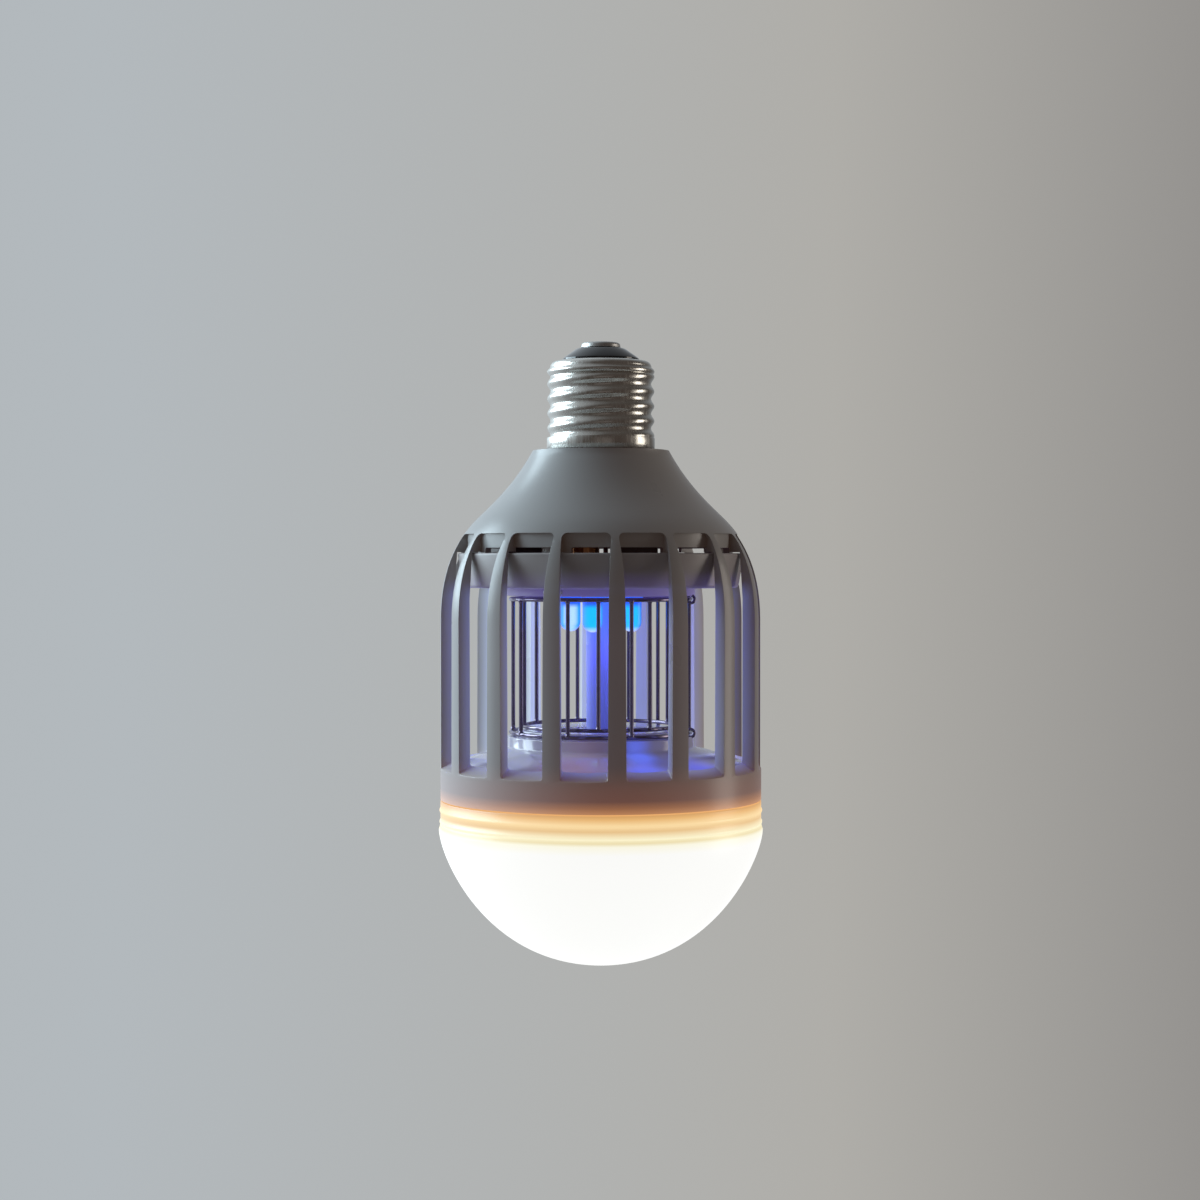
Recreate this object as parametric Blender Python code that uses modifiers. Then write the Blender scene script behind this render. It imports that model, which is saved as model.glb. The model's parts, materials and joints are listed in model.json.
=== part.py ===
# Insect killer light bulb: a screw-in lamp that hangs under its holder.
# The frame's origin lies on the axis, at the flat shoulder under the screw cap. +Z points up, to the cap.
# Upper half: a flared housing with sixteen ribs round an electric grid and four ultraviolet LEDs.
# Lower half: a glossy deck, a white LED lamp and its frosted diffuser.

import math

import bmesh
import bpy
from mathutils import Matrix, Vector

MM = 0.001

# clearances
GAP = 0.3 * MM
HOLE_PLAY = 0.4 * MM

# smoothness of the turned parts
BODY_STEPS = 48
DISC_STEPS = 32
CAP_STEPS = 18
SMALL_STEPS = 16
HOLE_STEPS = 12
WIRE_SIDES = 8

# screw cap
CAP_THREAD_RADIUS = 13.2 * MM
CAP_THREAD_DEPTH = 0.8 * MM
CAP_PITCH = 3.63 * MM
CAP_WALL = 0.4 * MM
CAP_COLLAR_HEIGHT = 2.9 * MM
CAP_HEIGHT = 22.0 * MM
CAP_CROWN_HEIGHT = 2.2 * MM
CAP_MOUTH_RADIUS = 9.0 * MM
INSULATOR_HEIGHT = 2.8 * MM
INSULATOR_TOP_RADIUS = 6.2 * MM
CONTACT_RADIUS = 4.9 * MM
CONTACT_HEIGHT = 1.2 * MM
CONTACT_STEM_RADIUS = 1.0 * MM

# housing: neck, flare and shoulder
NECK_WALL = 1.5 * MM
NECK_HEIGHT = 9.0 * MM
SHOULDER_LAND = 3.6 * MM
HOUSING_WALL = 2.0 * MM
BODY_RADIUS = 39.55 * MM
SHOULDER_OVERHANG = 9.5 * MM
FLARE_DROP = 16.4 * MM
SHOULDER_DROP = 25.1 * MM
FLARE_TOP_HANDLE = Vector((4.3, -7.8)) * MM
WAIST_HANDLE = Vector((4.65, -4.45)) * MM
SHOULDER_END_HANDLE = 13.45 * MM

# housing: ribs, windows, skirt and band
RIB_COUNT = 16
RIB_DEPTH = 3.25 * MM
RIB_NECK_STEP = 0.8 * MM
RIB_KNEE_DROP = 11.0 * MM
RIB_WIDTH = 4.3 * MM
WINDOW_HEIGHT = 57.3 * MM
WINDOW_RECESS = 1.0 * MM
WINDOW_TOP_ROUND = 1.4 * MM
LEDGE_SLOPE_DROP = 2.0 * MM
BAND_FLANGE = 2.1 * MM
BAND_WALL = 1.95 * MM
BAND_HEIGHT = 7.4 * MM
SKIRT_WALL = 1.6 * MM
SKIRT_LAP = 2.0 * MM
LEDGE_WIDTH = 1.9 * MM
LEDGE_HEIGHT = 2.4 * MM
VENT_COUNT = 8
VENT_ANGLE = math.radians(38.5)
VENT_SHOW = 1.3 * MM
VENT_PHASE = math.radians(12.9)
SCREW_BOSS_SHIFT = math.radians(-7.65)

# inner cup
CUP_RIM_DROP = 4.3 * MM
CUP_DEPTH = 8.4 * MM
CUP_WALL = 2.0 * MM
CUP_TAPER = 1.2 * MM
CUP_FLOOR = 2.0 * MM
CUP_BOSS_DEPTH = 2.0 * MM
BOSS_RIM = 1.0 * MM

# screws that hold the cup
CUP_SCREW_COUNT = 2
SCREW_CIRCLE_INSET = 2.4 * MM
SCREW_SHANK_RADIUS = 1.1 * MM
SCREW_HEAD_RADIUS = 2.3 * MM
SCREW_HEAD_HEIGHT = 1.4 * MM
SCREW_LENGTH = 8.0 * MM
SCREW_BOSS_RADIUS = 2.6 * MM

# electric grid
GRID_WIRE_RADIUS = 0.5 * MM
GRID_OUTER_RADIUS = 22.2 * MM
GRID_SPACING = 3.2 * MM
GRID_ROD_COUNT = 9
GRID_OUTER_PHASE = math.radians(15)
GRID_INNER_PHASE = math.radians(34)

# ultraviolet lamps and centre tube
UV_COUNT = 4
UV_CIRCLE = 7.8 * MM
UV_PHASE = math.radians(-9)
UV_RADIUS = 2.5 * MM
UV_LENGTH = 8.6 * MM
UV_FLANGE_WIDTH = 0.4 * MM
UV_FLANGE_HEIGHT = 1.0 * MM
UV_LEG_SPREAD = 1.27 * MM
UV_LEG_RADIUS = 0.3 * MM
UV_BOARD_RADIUS = 12.0 * MM
BOARD_THICKNESS = 1.2 * MM
TUBE_RADIUS = 3.6 * MM
TUBE_WALL = 1.2 * MM

# lower deck
DECK_SINK = 0.6 * MM
DECK_RISE = 4.0 * MM
DECK_BOSS_HEIGHT = 2.8 * MM
DECK_PLATEAU_HEIGHT = 1.5 * MM
DECK_WALL = 1.8 * MM
DECK_RIM_FLANGE = 2.0 * MM
TUBE_SOCKET_DEPTH = 2.3 * MM

# white lamp
PLATE_THICKNESS = 1.5 * MM
PLATE_SHELF = 1.3 * MM
LED_BOARD_MARGIN = 2.2 * MM
CHIP_COUNT = 6
CHIP_INSET = 6.5 * MM
CHIP_SIZE = Vector((3.5, 2.8, 0.8)) * MM
PLATE_SCREW_COUNT = 2
PLATE_SCREW_INSET = 5.2 * MM
PLATE_SCREW_LENGTH = 6.0 * MM

# diffuser
DIFFUSER_WALL = 1.8 * MM
SPIGOT_WALL = 1.8 * MM
PLATE_LEDGE_DROP = 0.6 * MM
BEAD_RADIUS = 0.5 * MM
BEAD_PROUD = 0.25 * MM
BEAD_DROPS = (2.7 * MM, 5.5 * MM)
DOME_DROP = 7.45 * MM
DOME_BULGE = 0.4 * MM
DOME_DEPTH = 33.5 * MM
DOME_SIDE_HANDLE = 6.0 * MM
DOME_POLE_HANDLE = 29.0 * MM

# driver parts
LEAD_RADIUS = 0.6 * MM
THIN_LEAD_RADIUS = 0.4 * MM
LEAD_TAIL = 2.0 * MM
LEAD_FOLD = 3.0 * MM
LEAD_SLACK = 6.0 * MM
LIVE_PLACE = Vector((3.0, 1.6)) * MM
NEUTRAL_PLACE = Vector((-5.0, -4.8)) * MM
TRANSFORMER_SIZE = Vector((14.0, 12.0, 9.6)) * MM
ELECTROLYTIC_RADIUS = 4.0 * MM
ELECTROLYTIC_LENGTH = 13.0 * MM
FILM_CAPACITOR_SIZE = Vector((11.0, 5.0, 6.4)) * MM
FUSE_RADIUS = 1.6 * MM
FUSE_LENGTH = 9.0 * MM
CHOKE_RADIUS = 3.4 * MM
CHOKE_HOLE_RADIUS = 1.3 * MM
CHOKE_LENGTH = 6.4 * MM
CHOKE_ANGLE = math.radians(-93.6)
TRANSFORMER_PLACE = Vector((-8.0, 5.0)) * MM
ELECTROLYTIC_PLACE = Vector((9.0, -6.0)) * MM
FILM_CAPACITOR_PLACE = Vector((10.0, -21.0)) * MM
FILM_CAPACITOR_TURN = math.radians(11.5)
FUSE_PLACE = Vector((-17.0, -14.0)) * MM
SOFT_EDGE = 0.6 * MM


def bezier(start, start_handle, end_handle, end, count):
    """Points along a cubic curve, without its first point."""
    points = []
    for index in range(1, count + 1):
        t = index / count
        u = 1.0 - t
        near = start * u**3 + start_handle * (3 * u * u * t)
        far = end_handle * (3 * u * t * t) + end * t**3
        points.append(near + far)
    return points


def housing_contour():
    """Outer outline of the housing as (radius, z), from the shoulder edge down to the upright wall."""
    top = Vector((CAP_THREAD_RADIUS + SHOULDER_LAND, 0.0))
    waist = Vector((BODY_RADIUS - SHOULDER_OVERHANG, -FLARE_DROP))
    end = Vector((BODY_RADIUS, -FLARE_DROP - SHOULDER_DROP))
    above = end + Vector((0.0, SHOULDER_END_HANDLE))
    flare = bezier(top, top + FLARE_TOP_HANDLE, waist - WAIST_HANDLE, waist, 4)
    shoulder = bezier(waist, waist + WAIST_HANDLE, above, end, 6)
    return [top] + flare + shoulder


def contour_height(radius):
    """The height at which the housing's outer outline reaches a radius."""
    points = housing_contour()
    for upper, lower in zip(points, points[1:]):
        if upper.x <= radius < lower.x:
            share = (radius - upper.x) / (lower.x - upper.x)
            return upper.y + share * (lower.y - upper.y)
    return points[-1].y


def inset(points, distance):
    """A copy of an outline that runs downwards, moved inwards square to itself."""
    moved = []
    for index, point in enumerate(points):
        before = points[max(index - 1, 0)]
        after = points[min(index + 1, len(points) - 1)]
        along = (after - before).normalized()
        moved.append(point + Vector((along.y, -along.x)) * distance)
    return moved


# sizes that follow from the driving dimensions

WINDOW_HALF_WIDTH = BODY_RADIUS * math.sin(math.pi / RIB_COUNT) - RIB_WIDTH / 2
RIB_INNER = BODY_RADIUS - RIB_DEPTH
RIB_NECK_INNER = RIB_INNER - RIB_NECK_STEP
CUP_RIM_RADIUS = RIB_NECK_INNER - GAP
CUP_MOUTH_RADIUS = CUP_RIM_RADIUS - CUP_WALL
SKIRT_OUTER = CUP_MOUTH_RADIUS - GAP
SKIRT_INNER = SKIRT_OUTER - SKIRT_WALL
LEDGE_INNER = SKIRT_INNER - LEDGE_WIDTH
NECK_RADIUS = CAP_THREAD_RADIUS - CAP_THREAD_DEPTH - CAP_WALL - GAP

GRID_INNER_RADIUS = GRID_OUTER_RADIUS - GRID_SPACING
BOSS_RADIUS = GRID_OUTER_RADIUS + BOSS_RIM

WINDOW_TOP_Z = contour_height(SKIRT_OUTER + WINDOW_RECESS)
LEDGE_Z = WINDOW_TOP_Z - GAP
CUP_RIM_Z = WINDOW_TOP_Z - CUP_RIM_DROP
SKIRT_BOTTOM_Z = CUP_RIM_Z - SKIRT_LAP
VENT_TOP_Z = CUP_RIM_Z + VENT_SHOW
CUP_BOTTOM_Z = CUP_RIM_Z - CUP_DEPTH
CUP_FLOOR_Z = CUP_BOTTOM_Z + CUP_FLOOR
CUP_BOSS_Z = CUP_BOTTOM_Z - CUP_BOSS_DEPTH
BOARD_TOP_Z = LEDGE_Z - GAP
BOARD_UNDER_Z = BOARD_TOP_Z - BOARD_THICKNESS
UV_BOARD_UNDER_Z = CUP_FLOOR_Z + GAP

WINDOW_BOTTOM_Z = WINDOW_TOP_Z - WINDOW_HEIGHT
LEDGE_TOP_Z = WINDOW_BOTTOM_Z + LEDGE_SLOPE_DROP
FLANGE_UNDER_Z = LEDGE_TOP_Z - BAND_FLANGE
SEAM_Z = WINDOW_BOTTOM_Z - BAND_HEIGHT
BAND_INNER = BODY_RADIUS - BAND_WALL

DECK_RADIUS = RIB_INNER - GAP
DECK_RIM_Z = LEDGE_TOP_Z - DECK_SINK
DECK_FLOOR_Z = DECK_RIM_Z + DECK_RISE
DECK_BOSS_Z = DECK_FLOOR_Z + DECK_BOSS_HEIGHT
DECK_PLATEAU_Z = DECK_BOSS_Z + DECK_PLATEAU_HEIGHT
DECK_FLANGE_TOP_Z = FLANGE_UNDER_Z - GAP
DECK_FLANGE_UNDER_Z = DECK_FLANGE_TOP_Z - DECK_RIM_FLANGE
DECK_FLANGE_RADIUS = BAND_INNER - GAP
TUBE_SOCKET_Z = DECK_PLATEAU_Z - TUBE_SOCKET_DEPTH
TUBE_BORE = TUBE_RADIUS - TUBE_WALL

SPIGOT_TOP_Z = DECK_FLANGE_UNDER_Z - GAP
SPIGOT_RADIUS = BAND_INNER - GAP
SPIGOT_INNER = SPIGOT_RADIUS - SPIGOT_WALL
PLATE_LEDGE_Z = SEAM_Z + PLATE_LEDGE_DROP
PLATE_RADIUS = SPIGOT_INNER - GAP
PLATE_UNDER_Z = PLATE_LEDGE_Z + GAP
PLATE_TOP_Z = PLATE_UNDER_Z + PLATE_THICKNESS
PLATE_SCREW_CIRCLE = PLATE_RADIUS - PLATE_SCREW_INSET
LED_BOARD_RADIUS = PLATE_SCREW_CIRCLE - SCREW_HEAD_RADIUS - LED_BOARD_MARGIN
CHIP_CIRCLE = LED_BOARD_RADIUS - CHIP_INSET
LED_BOARD_TOP_Z = PLATE_UNDER_Z - GAP
LED_BOARD_UNDER_Z = LED_BOARD_TOP_Z - BOARD_THICKNESS
DOME_EQUATOR_Z = SEAM_Z - DOME_DROP
DOME_RADIUS = BODY_RADIUS + DOME_BULGE

SCREW_CIRCLE = SKIRT_INNER - SCREW_CIRCLE_INSET
SCREW_BOSS_UNDER_Z = CUP_FLOOR_Z + GAP
INSULATOR_BASE_Z = CAP_HEIGHT + GAP
INSULATOR_TOP_Z = INSULATOR_BASE_Z + INSULATOR_HEIGHT
CONTACT_BASE_Z = INSULATOR_TOP_Z + GAP
CONTACT_STEM_Z = CAP_HEIGHT - CAP_CROWN_HEIGHT


def clear_scene():
    for thing in list(bpy.data.objects):
        bpy.data.objects.remove(thing, do_unlink=True)


def new_collection(name):
    collection = bpy.data.collections.new(name)
    bpy.context.scene.collection.children.link(collection)
    return collection


def new_material(name, colour, roughness, metallic=0.0, transmission=0.0):
    material = bpy.data.materials.new(name)
    material.use_nodes = True
    shader = material.node_tree.nodes["Principled BSDF"]
    shader.inputs["Base Color"].default_value = (*colour, 1.0)
    shader.inputs["Roughness"].default_value = roughness
    shader.inputs["Metallic"].default_value = metallic
    shader.inputs["Transmission Weight"].default_value = transmission
    material.diffuse_color = (*colour, 1.0)
    return material


def smooth(part, angle=math.radians(35)):
    part.data.shade_smooth()
    part.data.set_sharp_from_angle(angle=angle)


def keep(part, name, material=None, collection=None):
    """Name an object, give it a material and move it to a collection."""
    part.name = name
    part.data.name = name
    if material:
        part.data.materials.clear()
        part.data.materials.append(material)
    target = collection or PARTS
    for owner in list(part.users_collection):
        owner.objects.unlink(part)
    target.objects.link(part)
    return part


def keep_cutter(part, name):
    keep(part, name, collection=CUTTERS)
    part.hide_render = True
    part.display_type = "WIRE"
    return part


def turned(name, outline, material=None, steps=BODY_STEPS, closed=True):
    """A turned solid. The outline runs down the outer side and back up the inner side."""
    mesh = bpy.data.meshes.new(name)
    corners = [(radius, 0.0, height) for radius, height in outline]
    edges = [(index, index + 1) for index in range(len(corners) - 1)]
    if closed:
        edges.append((len(corners) - 1, 0))
    mesh.from_pydata(corners, edges, [])
    part = bpy.data.objects.new(name, mesh)
    PARTS.objects.link(part)
    screw = part.modifiers.new("Turn", "SCREW")
    screw.steps = steps
    screw.render_steps = steps
    screw.use_merge_vertices = True
    screw.merge_threshold = 0.00001
    screw.use_smooth_shade = True
    if material:
        mesh.materials.append(material)
    return part


def solid_rod(name, radius, top, bottom, place, material=None, sides=SMALL_STEPS):
    """An upright cylinder between two heights, at a place in the plan."""
    bpy.ops.mesh.primitive_cylinder_add(
        vertices=sides,
        radius=radius,
        depth=top - bottom,
        location=(place[0], place[1], (top + bottom) / 2),
    )
    return keep(bpy.context.object, name, material)


def block(name, size, centre, turn=0.0, material=None, round_edges=0.0):
    bpy.ops.mesh.primitive_cube_add(size=1.0, location=centre)
    part = bpy.context.object
    part.data.transform(Matrix.Diagonal((*size, 1.0)))
    part.rotation_euler.z = turn
    if round_edges:
        bevel = part.modifiers.new("Soft edges", "BEVEL")
        bevel.width = round_edges
        bevel.segments = 2
    return keep(part, name, material)


def on_circle(radius, angle):
    return Vector((radius * math.cos(angle), radius * math.sin(angle)))


def around(count, phase=0.0):
    return [phase + index * math.tau / count for index in range(count)]


def boolean(part, other, operation):
    step = part.modifiers.new(operation.title(), "BOOLEAN")
    step.operation = operation
    step.solver = "EXACT"
    step.object = other


def cut(part, cutter):
    keep_cutter(cutter, cutter.name)
    boolean(part, cutter, "DIFFERENCE")


def join(part, other):
    keep_cutter(other, other.name)
    boolean(part, other, "UNION")


def applied(part):
    """Replace an object's mesh by its evaluated one, and drop its modifiers."""
    graph = bpy.context.evaluated_depsgraph_get()
    mesh = bpy.data.meshes.new_from_object(part.evaluated_get(graph))
    part.modifiers.clear()
    part.data = mesh
    return part


def one_mesh(name, pieces):
    """Join separate shapes into one cutter."""
    shell = bmesh.new()
    graph = bpy.context.evaluated_depsgraph_get()
    for piece in pieces:
        mesh = bpy.data.meshes.new_from_object(piece.evaluated_get(graph))
        mesh.transform(piece.matrix_world)
        shell.from_mesh(mesh)
    mesh = bpy.data.meshes.new(name)
    shell.to_mesh(mesh)
    shell.free()
    for piece in pieces:
        bpy.data.objects.remove(piece, do_unlink=True)
    joined = bpy.data.objects.new(name, mesh)
    CUTTERS.objects.link(joined)
    return joined


def wire(name, route, radius, material):
    """A lead along hand-chosen points, as a round tube with closed ends."""
    curve = bpy.data.curves.new(name, "CURVE")
    curve.dimensions = "3D"
    curve.bevel_depth = radius
    curve.bevel_resolution = 1
    curve.use_fill_caps = True
    spline = curve.splines.new("POLY")
    spline.points.add(len(route) - 1)
    for point, place in zip(spline.points, route):
        point.co = (*place, 1.0)
    part = bpy.data.objects.new(name, curve)
    PARTS.objects.link(part)
    curve.materials.append(material)
    return part


# screw cap

def thread_surface():
    """One turn of the rolled thread's wave, wound into a thin threaded tube."""
    wave = 4
    middle = CAP_THREAD_RADIUS - CAP_THREAD_DEPTH / 2
    mesh = bpy.data.meshes.new("cap_thread")
    corners = []
    for index in range(wave + 1):
        share = index / wave
        radius = middle + CAP_THREAD_DEPTH / 2 * math.cos(share * math.tau)
        corners.append((radius, 0.0, -CAP_PITCH * share))
    mesh.from_pydata(corners, [(index, index + 1) for index in range(wave)], [])
    tube = bpy.data.objects.new("cap_thread", mesh)
    PARTS.objects.link(tube)
    turns = math.ceil(CAP_HEIGHT / CAP_PITCH) + 1
    winding = tube.modifiers.new("Wind", "SCREW")
    winding.steps = CAP_STEPS
    winding.render_steps = CAP_STEPS
    winding.screw_offset = CAP_PITCH
    winding.iterations = turns
    winding.use_merge_vertices = True
    winding.merge_threshold = 0.00001
    weld = tube.modifiers.new("Weld", "WELD")
    weld.merge_threshold = 0.00002
    wall = tube.modifiers.new("Wall", "SOLIDIFY")
    wall.thickness = CAP_WALL
    wall.offset = -1.0
    return tube


def screw_shell():
    """Threaded shell: plain collar below, rolled thread, and a crown that closes in on the insulator."""
    root_inner = CAP_THREAD_RADIUS - CAP_THREAD_DEPTH - CAP_WALL
    thread_top = CAP_HEIGHT - CAP_CROWN_HEIGHT
    collar_top = CAP_COLLAR_HEIGHT + GAP
    lap = 2 * CAP_WALL
    bite = root_inner + CAP_WALL / 4
    swell = CAP_THREAD_RADIUS + CAP_WALL / 4
    shell = thread_surface()
    trim = solid_rod("cap_trim", 2 * CAP_THREAD_RADIUS, thread_top + lap / 2, collar_top - lap, (0.0, 0.0))
    keep_cutter(trim, "cap_trim")
    boolean(shell, trim, "INTERSECT")
    collar = [
        (swell, collar_top),
        (swell, GAP),
        (bite, GAP),
        (bite, collar_top),
    ]
    crown = [
        (CAP_MOUTH_RADIUS, CAP_HEIGHT),
        (root_inner - CAP_WALL, CAP_HEIGHT),
        (swell, thread_top + lap),
        (swell, thread_top - lap / 2),
        (bite, thread_top - lap / 2),
        (bite, thread_top + lap / 2),
        (root_inner - 2 * CAP_WALL, CAP_HEIGHT - CAP_WALL),
        (CAP_MOUTH_RADIUS, CAP_HEIGHT - CAP_WALL),
    ]
    join(shell, turned("cap_collar", collar, steps=CAP_STEPS))
    join(shell, turned("cap_crown", crown, steps=CAP_STEPS))
    shell = keep(applied(shell), "screw_shell", CAP_METAL)
    smooth(shell)


def base_insulator():
    plug_radius = CAP_MOUTH_RADIUS - GAP
    flange_radius = CAP_MOUTH_RADIUS + CAP_WALL
    plug_bottom = CONTACT_STEM_Z + CAP_WALL
    bore = CONTACT_STEM_RADIUS + GAP
    outline = [
        (bore, INSULATOR_TOP_Z),
        (INSULATOR_TOP_RADIUS, INSULATOR_TOP_Z),
        (flange_radius, INSULATOR_BASE_Z + CAP_WALL),
        (flange_radius, INSULATOR_BASE_Z),
        (plug_radius, INSULATOR_BASE_Z),
        (plug_radius, plug_bottom),
        (bore, plug_bottom),
    ]
    turned("base_insulator", outline, BLACK_GLASS, steps=CAP_STEPS)


def centre_contact():
    flat_radius = CONTACT_RADIUS - CONTACT_HEIGHT / 2
    top = CONTACT_BASE_Z + CONTACT_HEIGHT
    outline = [
        (0.0, top),
        (flat_radius, top),
        (CONTACT_RADIUS, top - CONTACT_HEIGHT / 2),
        (CONTACT_RADIUS, CONTACT_BASE_Z),
        (CONTACT_STEM_RADIUS, CONTACT_BASE_Z),
        (CONTACT_STEM_RADIUS, CONTACT_STEM_Z),
        (0.0, CONTACT_STEM_Z),
    ]
    turned("centre_contact", outline, SOLDER, steps=SMALL_STEPS, closed=False)


# housing

def window_cutter(angle, name):
    """One tall radial window. Its floor slopes down and out, like the ledge under it."""
    near = SKIRT_INNER
    far = BODY_RADIUS + RIB_DEPTH
    slope = LEDGE_SLOPE_DROP / RIB_DEPTH
    bpy.ops.mesh.primitive_cube_add(size=1.0)
    window = bpy.context.object
    for corner in window.data.vertices:
        reach = far if corner.co.x > 0 else near
        half_width = WINDOW_HALF_WIDTH if corner.co.y > 0 else -WINDOW_HALF_WIDTH
        floor = LEDGE_TOP_Z - (reach - RIB_INNER) * slope
        height = WINDOW_TOP_Z if corner.co.z > 0 else floor
        corner.co = (reach, half_width, height)
    shape = bmesh.new()
    shape.from_mesh(window.data)
    radial = []
    for edge in shape.edges:
        low, high = (corner.co for corner in edge.verts)
        if abs(low.y - high.y) < GAP and min(low.z, high.z) > WINDOW_TOP_Z - GAP:
            radial.append(edge)
    bmesh.ops.bevel(shape, geom=radial, offset=WINDOW_TOP_ROUND, segments=2, profile=0.5, affect="EDGES")
    shape.to_mesh(window.data)
    shape.free()
    window.data.transform(Matrix.Rotation(angle, 4, "Z"))
    return keep(window, name)


def rib_body():
    """Flared cone and the ring that the windows divide into ribs."""
    contour = housing_contour()
    upper = [point for point in contour if point.y > WINDOW_TOP_Z]
    inner = inset(upper, HOUSING_WALL)[1::2]
    inner = [point for point in inner if point.x > NECK_RADIUS and point.x < SKIRT_OUTER - SKIRT_WALL / 2]
    groove_z = CUP_RIM_Z + GAP
    outline = [(NECK_RADIUS - NECK_WALL, NECK_HEIGHT), (NECK_RADIUS, NECK_HEIGHT), (NECK_RADIUS, 0.0)]
    outline += [(point.x, point.y) for point in contour]
    outline += [
        (BODY_RADIUS, SEAM_Z),
        (BAND_INNER, SEAM_Z),
        (BAND_INNER, FLANGE_UNDER_Z),
        (RIB_INNER, FLANGE_UNDER_Z),
        (RIB_INNER, CUP_RIM_Z - RIB_KNEE_DROP),
        (RIB_NECK_INNER, groove_z),
        (SKIRT_OUTER - SKIRT_WALL / 2, groove_z),
        (SKIRT_OUTER - SKIRT_WALL / 2, WINDOW_TOP_Z - HOUSING_WALL / 2),
    ]
    outline += [(point.x, point.y) for point in reversed(inner)]
    outline.append((NECK_RADIUS - NECK_WALL, -HOUSING_WALL))
    return turned("cage_housing", outline, HOUSING_PLASTIC)


def skirt():
    """Inner ring that the cup slips over, with the ledge that the driver board rests against."""
    ledge_top = LEDGE_Z + LEDGE_HEIGHT
    ledge_outer = BODY_RADIUS - SHOULDER_OVERHANG
    outline = [
        (LEDGE_INNER, ledge_top),
        (ledge_outer, ledge_top),
        (SKIRT_OUTER, contour_height(SKIRT_OUTER + WINDOW_RECESS / 2)),
        (SKIRT_OUTER, SKIRT_BOTTOM_Z),
        (SKIRT_INNER, SKIRT_BOTTOM_Z),
        (SKIRT_INNER, LEDGE_Z),
        (LEDGE_INNER, LEDGE_Z),
    ]
    ring = turned("skirt_ring", outline)
    slots = []
    for index, angle in enumerate(around(VENT_COUNT, VENT_PHASE)):
        slots.append(vent_cutter(angle, f"vent_{index + 1}"))
    cut(ring, one_mesh("vent_cutters", slots))
    return ring


def vent_cutter(angle, name):
    """A wedge that opens the skirt from its lower edge, with its sides on the radius."""
    near = SKIRT_INNER * math.cos(VENT_ANGLE / 2) - SKIRT_WALL
    far = SKIRT_OUTER + SKIRT_WALL
    spread = math.tan(VENT_ANGLE / 2)
    bpy.ops.mesh.primitive_cube_add(size=1.0)
    slot = bpy.context.object
    for corner in slot.data.vertices:
        reach = far if corner.co.x > 0 else near
        side = spread * reach if corner.co.y > 0 else -spread * reach
        height = VENT_TOP_Z if corner.co.z > 0 else SKIRT_BOTTOM_Z - SKIRT_WALL
        corner.co = (reach, side, height)
    slot.data.transform(Matrix.Rotation(angle, 4, "Z"))
    return keep(slot, name)


def boss_angles():
    """Each screw boss stands beside a solid bar of the skirt."""
    bar = VENT_PHASE + 3 * math.pi / VENT_COUNT
    return around(CUP_SCREW_COUNT, bar + SCREW_BOSS_SHIFT)


def cage_housing():
    housing = rib_body()
    windows = []
    for index, angle in enumerate(around(RIB_COUNT)):
        windows.append(window_cutter(angle, f"window_{index + 1}"))
    cut(housing, one_mesh("window_cutters", windows))
    join(housing, skirt())
    pilot_radius = SCREW_SHANK_RADIUS + GAP
    for index, angle in enumerate(boss_angles()):
        place = on_circle(SCREW_CIRCLE, angle)
        boss = solid_rod(f"boss_{index + 1}", SCREW_BOSS_RADIUS, LEDGE_Z + GAP, SCREW_BOSS_UNDER_Z, place)
        join(housing, boss)
    for index, angle in enumerate(boss_angles()):
        place = on_circle(SCREW_CIRCLE, angle)
        bottom = SCREW_BOSS_UNDER_Z - GAP
        top = CUP_BOTTOM_Z + SCREW_LENGTH + GAP
        cut(housing, solid_rod(f"pilot_{index + 1}", pilot_radius, top, bottom, place, sides=HOLE_STEPS))
    smooth(applied(housing))


# inner cup, screws and centre tube

def lamp_cup():
    """Pot that closes the housing from below. Its boss carries the lamps and the grid."""
    bottom_radius = CUP_RIM_RADIUS - CUP_TAPER
    bore = TUBE_RADIUS + GAP
    lip = CUP_WALL / 4
    outline = [
        (CUP_MOUTH_RADIUS, CUP_RIM_Z),
        (CUP_RIM_RADIUS - lip, CUP_RIM_Z),
        (CUP_RIM_RADIUS, CUP_RIM_Z - lip),
        (bottom_radius, CUP_BOTTOM_Z + lip),
        (bottom_radius - lip, CUP_BOTTOM_Z),
        (BOSS_RADIUS, CUP_BOTTOM_Z),
        (BOSS_RADIUS, CUP_BOSS_Z),
        (bore, CUP_BOSS_Z),
        (bore, CUP_FLOOR_Z),
        (CUP_MOUTH_RADIUS - CUP_TAPER, CUP_FLOOR_Z),
        (CUP_MOUTH_RADIUS, SKIRT_BOTTOM_Z - GAP),
    ]
    cup = turned("lamp_cup", outline, HOUSING_PLASTIC)
    holes = []
    for index, angle in enumerate(around(UV_COUNT, UV_PHASE)):
        place = on_circle(UV_CIRCLE, angle)
        radius = UV_LEG_SPREAD + UV_LEG_RADIUS + HOLE_PLAY
        holes.append(through_cup(f"uv_hole_{index + 1}", radius, place))
    for index, angle in enumerate(boss_angles()):
        place = on_circle(SCREW_CIRCLE, angle)
        holes.append(through_cup(f"screw_hole_{index + 1}", SCREW_SHANK_RADIUS + HOLE_PLAY, place))
        head_room = SCREW_HEAD_RADIUS + HOLE_PLAY
        pocket_bottom = CUP_BOSS_Z - CUP_FLOOR
        cut(cup, solid_rod(f"head_room_{index + 1}", head_room, CUP_BOTTOM_Z, pocket_bottom, place))
    for index, place in enumerate(grid_lead_places()):
        holes.append(through_cup(f"grid_hole_{index + 1}", THIN_LEAD_RADIUS + GAP, place))
    cut(cup, one_mesh("cup_holes", holes))
    smooth(applied(cup))


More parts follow.
